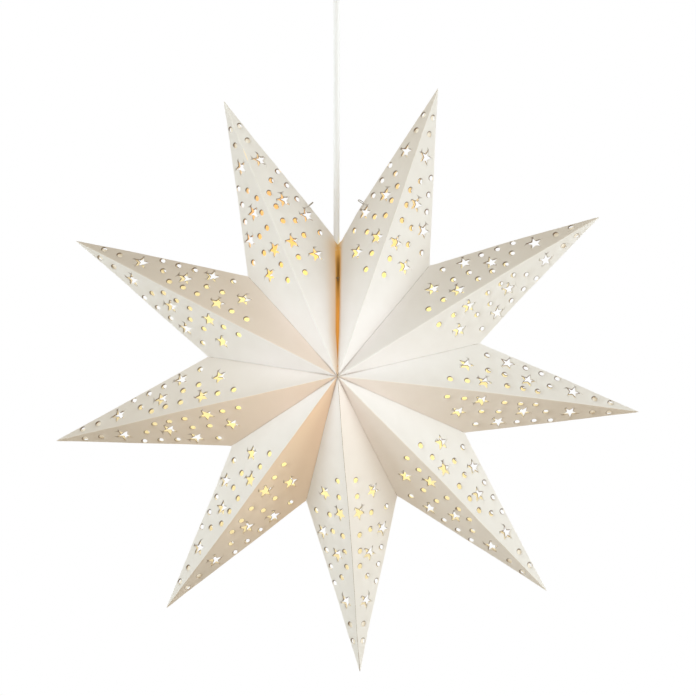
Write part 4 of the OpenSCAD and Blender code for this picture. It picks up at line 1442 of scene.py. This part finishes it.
@dataclass
class HangingCord:
    """The free cord, its two ends in the grips, and the cores that come out of them."""

    radius: float = 3.0
    length: float = 300.0
    top_z: float = -64.0
    points: int = 21
    cut_round: float = 0.35
    sheath_sides: int = 24
    core_r: float = 1.1
    core_gap: float = 0.2
    core_sides: int = 14
    bend_points: int = 15
    straight_top: float = 9.5
    straight_end: float = 5.5

    def free_cord(self, finish: bpy.types.Material) -> None:
        """Builds the free cord and says what it is.

        Args:
            finish: its material.
        """
        curve = bpy.data.curves.new("round_cord", "CURVE")
        curve.dimensions = "3D"
        curve.bevel_depth = self.radius * MM
        curve.bevel_resolution = 8
        curve.use_fill_caps = True
        spline = curve.splines.new("POLY")
        spline.points.add(self.points - 1)
        low = self.top_z - self.length
        for i, z in enumerate(np.linspace(low, self.top_z, self.points)):
            spline.points[i].co = (0.0, 0.0, z * MM, 1.0)
        cord = bpy.data.objects.new("round_cord", curve)
        bpy.context.scene.collection.objects.link(cord)
        curve.materials.append(finish)
        stand_in(cord, "cord", "cord")

    def sheath(self, name: str, node: str, body: str, finish: bpy.types.Material,
               up: bool) -> None:
        """Builds one clamped end of the sheath, with its cut edge rounded.

        Args:
            name: the piece's name.
            node: the solid that it stands for.
            body: the body that it rides on.
            finish: its material.
            up: whether the stripped end is the upper one.
        """
        low, high = (corner.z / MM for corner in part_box(node))
        run = np.array([0, 0.15, 0.5, 1.0])
        ends = np.concatenate([run, np.linspace(2, high - low - 2, 5), high - low - run[::-1]])
        radii = np.full(len(ends), self.radius)
        radii[-1 if up else 0] -= self.cut_round
        points, faces = tube(np.stack([0 * ends, 0 * ends, low + ends], 1), radii,
                             self.sheath_sides)
        stand_in(new_mesh(name, points, faces, [finish]), body, node)

    def core(self, name: str, node: str, body: str, finish: bpy.types.Material,
             up: bool) -> None:
        """Builds one insulated core, bent in an S from the sheath to its terminal.

        Args:
            name: the piece's name.
            node: the solid that it stands for.
            body: the body that it rides on.
            finish: its material.
            up: whether it runs upward from the sheath.
        """
        low, high = (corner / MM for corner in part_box(node))
        side = -1 if high.x + low.x < 0 else 1
        near_x = side * (self.core_r + self.core_gap)
        far_x = high.x - self.core_r if side > 0 else low.x + self.core_r
        start, end = (low.z, high.z) if up else (high.z, low.z)
        bend_end = end - self.straight_top if up else end + self.straight_end
        f = np.linspace(0, 1, self.bend_points)
        bend = np.stack([near_x + (far_x - near_x) * (1 - np.cos(math.pi * f)) / 2, 0 * f,
                         start + (bend_end - start) * f], 1)
        path = np.concatenate([bend, [[far_x, 0, (bend_end + end) / 2], [far_x, 0, end]]])
        points, faces = tube(path, self.core_r, self.core_sides)
        stand_in(new_mesh(name, points, faces, [finish]), body, node)

    def build(self) -> None:
        """Builds the cord, then what is at its two ends."""
        pvc = PVC.make()
        self.free_cord(pvc)
        self.sheath("sheath_top", "cord_top", "ceiling", pvc, True)
        self.sheath("sheath_end", "cord_end", "holder", pvc, False)
        brown, blue = BROWN_PVC.make(), BLUE_PVC.make()
        for end, body, up in (("top", "ceiling", True), ("end", "holder", False)):
            self.core(f"brown_wire_{end}", f"live_core_{end}", body, brown, up)
            self.core(f"blue_wire_{end}", f"neutral_core_{end}", body, blue, up)


def dress(names: list[str], finish: bpy.types.Material) -> None:
    """Gives solids of the frame a material, and leaves their shapes alone.

    Args:
        names: the solids' names.
        finish: the material that they get.
    """
    for name in names:
        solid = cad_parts[name]
        for slot in solid.material_slots:
            slot.material = finish
        log.info("%s: %s", name, finish.name)


@dataclass
class Lampholder:
    """The lampholder with its grip, cap, insert, shell and skirt."""

    white: bpy.types.Material
    steel: bpy.types.Material
    brass: bpy.types.Material

    def build(self) -> None:
        """Dresses the lampholder's solids."""
        dress(["holder_grip", "holder_cap", "holder_skirt"], self.white)
        dress(["holder_grip_screw"], self.steel)
        dress(["insert_screws", "centre_contact", "thread_shell"], self.brass)
        dress(["holder_insert"], STEATITE.make())


@dataclass
class Bulb:
    """The lit bulb with its screw cap, glass, stem and light sticks."""

    brass: bpy.types.Material

    def build(self) -> None:
        """Dresses the bulb's solids."""
        dress(["bulb_tip"], self.brass)
        dress(["bulb_cap"], NICKEL.make())
        dress(["bulb_ring"], BLACK_GLASS.make())
        dress(["bulb_glass"], OPAL_GLASS.make())
        dress(["bulb_stem"], CLEAR_GLASS.make())
        dress(["light_sticks"], PHOSPHOR.make())


@dataclass
class CeilingCup:
    """The ceiling cup with its plate, screws, terminal block and cord grip."""

    white: bpy.types.Material
    steel: bpy.types.Material
    brass: bpy.types.Material

    def build(self) -> None:
        """Dresses the solids at the ceiling."""
        dress(["cup"], POWDER_COAT.make())
        dress(["terminal_block", "cord_grip"], self.white)
        dress(["ceiling_plate", "cup_screws", "block_screw", "cord_grip_nut",
               "cord_grip_screw"], self.steel)
        dress(["terminal_screws"], self.brass)


@dataclass(frozen=True)
class SoftLight:
    """A square soft light that faces the star."""

    name: str
    place: tuple[float, float, float]
    size: float
    power: float
    colour: tuple[float, float, float]

    def add(self, look_at: tuple[float, float, float]) -> None:
        """Adds the light.

        Args:
            look_at: the place that it faces.
        """
        data = bpy.data.lights.new(self.name, "AREA")
        data.shape, data.size, data.energy = "SQUARE", self.size, self.power
        data.color = self.colour
        light = bpy.data.objects.new(self.name, data)
        bpy.context.scene.collection.objects.link(light)
        light.location = self.place
        light.visible_camera = False
        toward = Vector(look_at) - Vector(self.place)
        light.rotation_mode = "QUATERNION"
        light.rotation_quaternion = toward.to_track_quat("-Z", "Y")


@dataclass
class Studio:
    """The camera, the soft lights, the pale floor and the white background."""

    look_at: tuple[float, float, float] = (0.0115, 0.0, -0.4444)
    azimuth: float = 4.6
    elevation: float = 2.1
    distance: float = 3.2
    frame_width: float = 0.6995
    sensor_mm: float = 36.0
    floor_z: float = -1.75
    floor_half: float = 3.0
    fill: tuple[float, float, float, float] = (0.3, 0.2, 0.07, 1.0)
    soft_lights: tuple[SoftLight, ...] = (
        SoftLight("left_softbox", (-2.4, -0.8, -0.45), 1.2, 28.6, (0.8, 0.92, 1.0)),
        SoftLight("right_softbox", (2.45, -0.66, -0.45), 1.2, 33.2, (0.8, 0.92, 1.0)),
        SoftLight("top_softbox", (0.0, -1.8, 1.6), 1.6, 30.6, (0.8, 0.92, 1.0)),
        SoftLight("floor_bounce", (1.5, -1.5, -1.6), 1.0, 5.5, (1.0, 0.8, 0.62)),
        SoftLight("back_softbox", (0.0, 3.0, 0.3), 1.8, 60.0, (0.8, 0.92, 1.0)),
    )

    def place_camera(self) -> None:
        """Puts the camera at the viewing angle of the photograph."""
        data = bpy.data.cameras.new("view")
        data.sensor_width = self.sensor_mm
        data.lens = self.sensor_mm * self.distance / self.frame_width
        camera = bpy.data.objects.new("view", data)
        bpy.context.scene.collection.objects.link(camera)
        az, el = math.radians(self.azimuth), math.radians(self.elevation)
        back = Vector((math.sin(az) * math.cos(el), -math.cos(az) * math.cos(el), math.sin(el)))
        camera.location = Vector(self.look_at) + back * self.distance
        camera.rotation_mode = "QUATERNION"
        camera.rotation_quaternion = (-back).to_track_quat("-Z", "Y")
        data.clip_end = 50.0
        bpy.context.scene.camera = camera

    def lights(self) -> None:
        """Adds the soft lights and the weak fill of the world."""
        for light in self.soft_lights:
            light.add(self.look_at)
        world = bpy.data.worlds.new("studio_room")
        bpy.context.scene.world = world
        world.use_nodes = True
        tree = world.node_tree
        tree.nodes.clear()
        fill = add_node(tree, "ShaderNodeBackground", {"Color": self.fill, "Strength": 1.0})
        white = add_node(tree, "ShaderNodeBackground", {"Color": (1, 1, 1, 1), "Strength": 1.0})
        mix = add_node(tree, "ShaderNodeMixShader", None,
                       {0: seen_rays(tree), 1: fill.outputs[0], 2: white.outputs[0]})
        add_node(tree, "ShaderNodeOutputWorld", None, {"Surface": mix.outputs[0]})

    def floor(self) -> None:
        """Adds a plain pale floor below the lantern."""
        half, z = self.floor_half / MM, self.floor_z / MM
        corners = np.array([(-half, -half, z), (half, -half, z), (half, half, z), (-half, half, z)])
        paint = FloorPaint("painted_floor", "#f4f4f3", "#f1f1f0", 0.7, 0.05, grain_mm=6.0,
                           cloud_mm=300.0, bump_mm=0.02)
        new_mesh("studio_floor", corners, [(0, 1, 2, 3)], [paint.make()])

    def build(self) -> None:
        """Sets up everything round the object, after the camera."""
        self.lights()
        self.floor()
        bpy.context.scene.view_settings.view_transform = "Standard"


def main() -> None:
    """Builds the camera and the cord first, then the star and the rest."""
    logging.basicConfig(level=logging.INFO, format="%(name)s: %(message)s")
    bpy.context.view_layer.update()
    studio = Studio()
    studio.place_camera()
    HangingCord().build()
    star = PaperStar()
    star.build()
    StarThreads(star.shape).build()
    white, steel, brass = POLYCARBONATE.make(), ZINC.make(), BRASS.make()
    Lampholder(white, steel, brass).build()
    Bulb(brass).build()
    CeilingCup(white, steel, brass).build()
    studio.build()


if __name__ == "__main__":
    main()
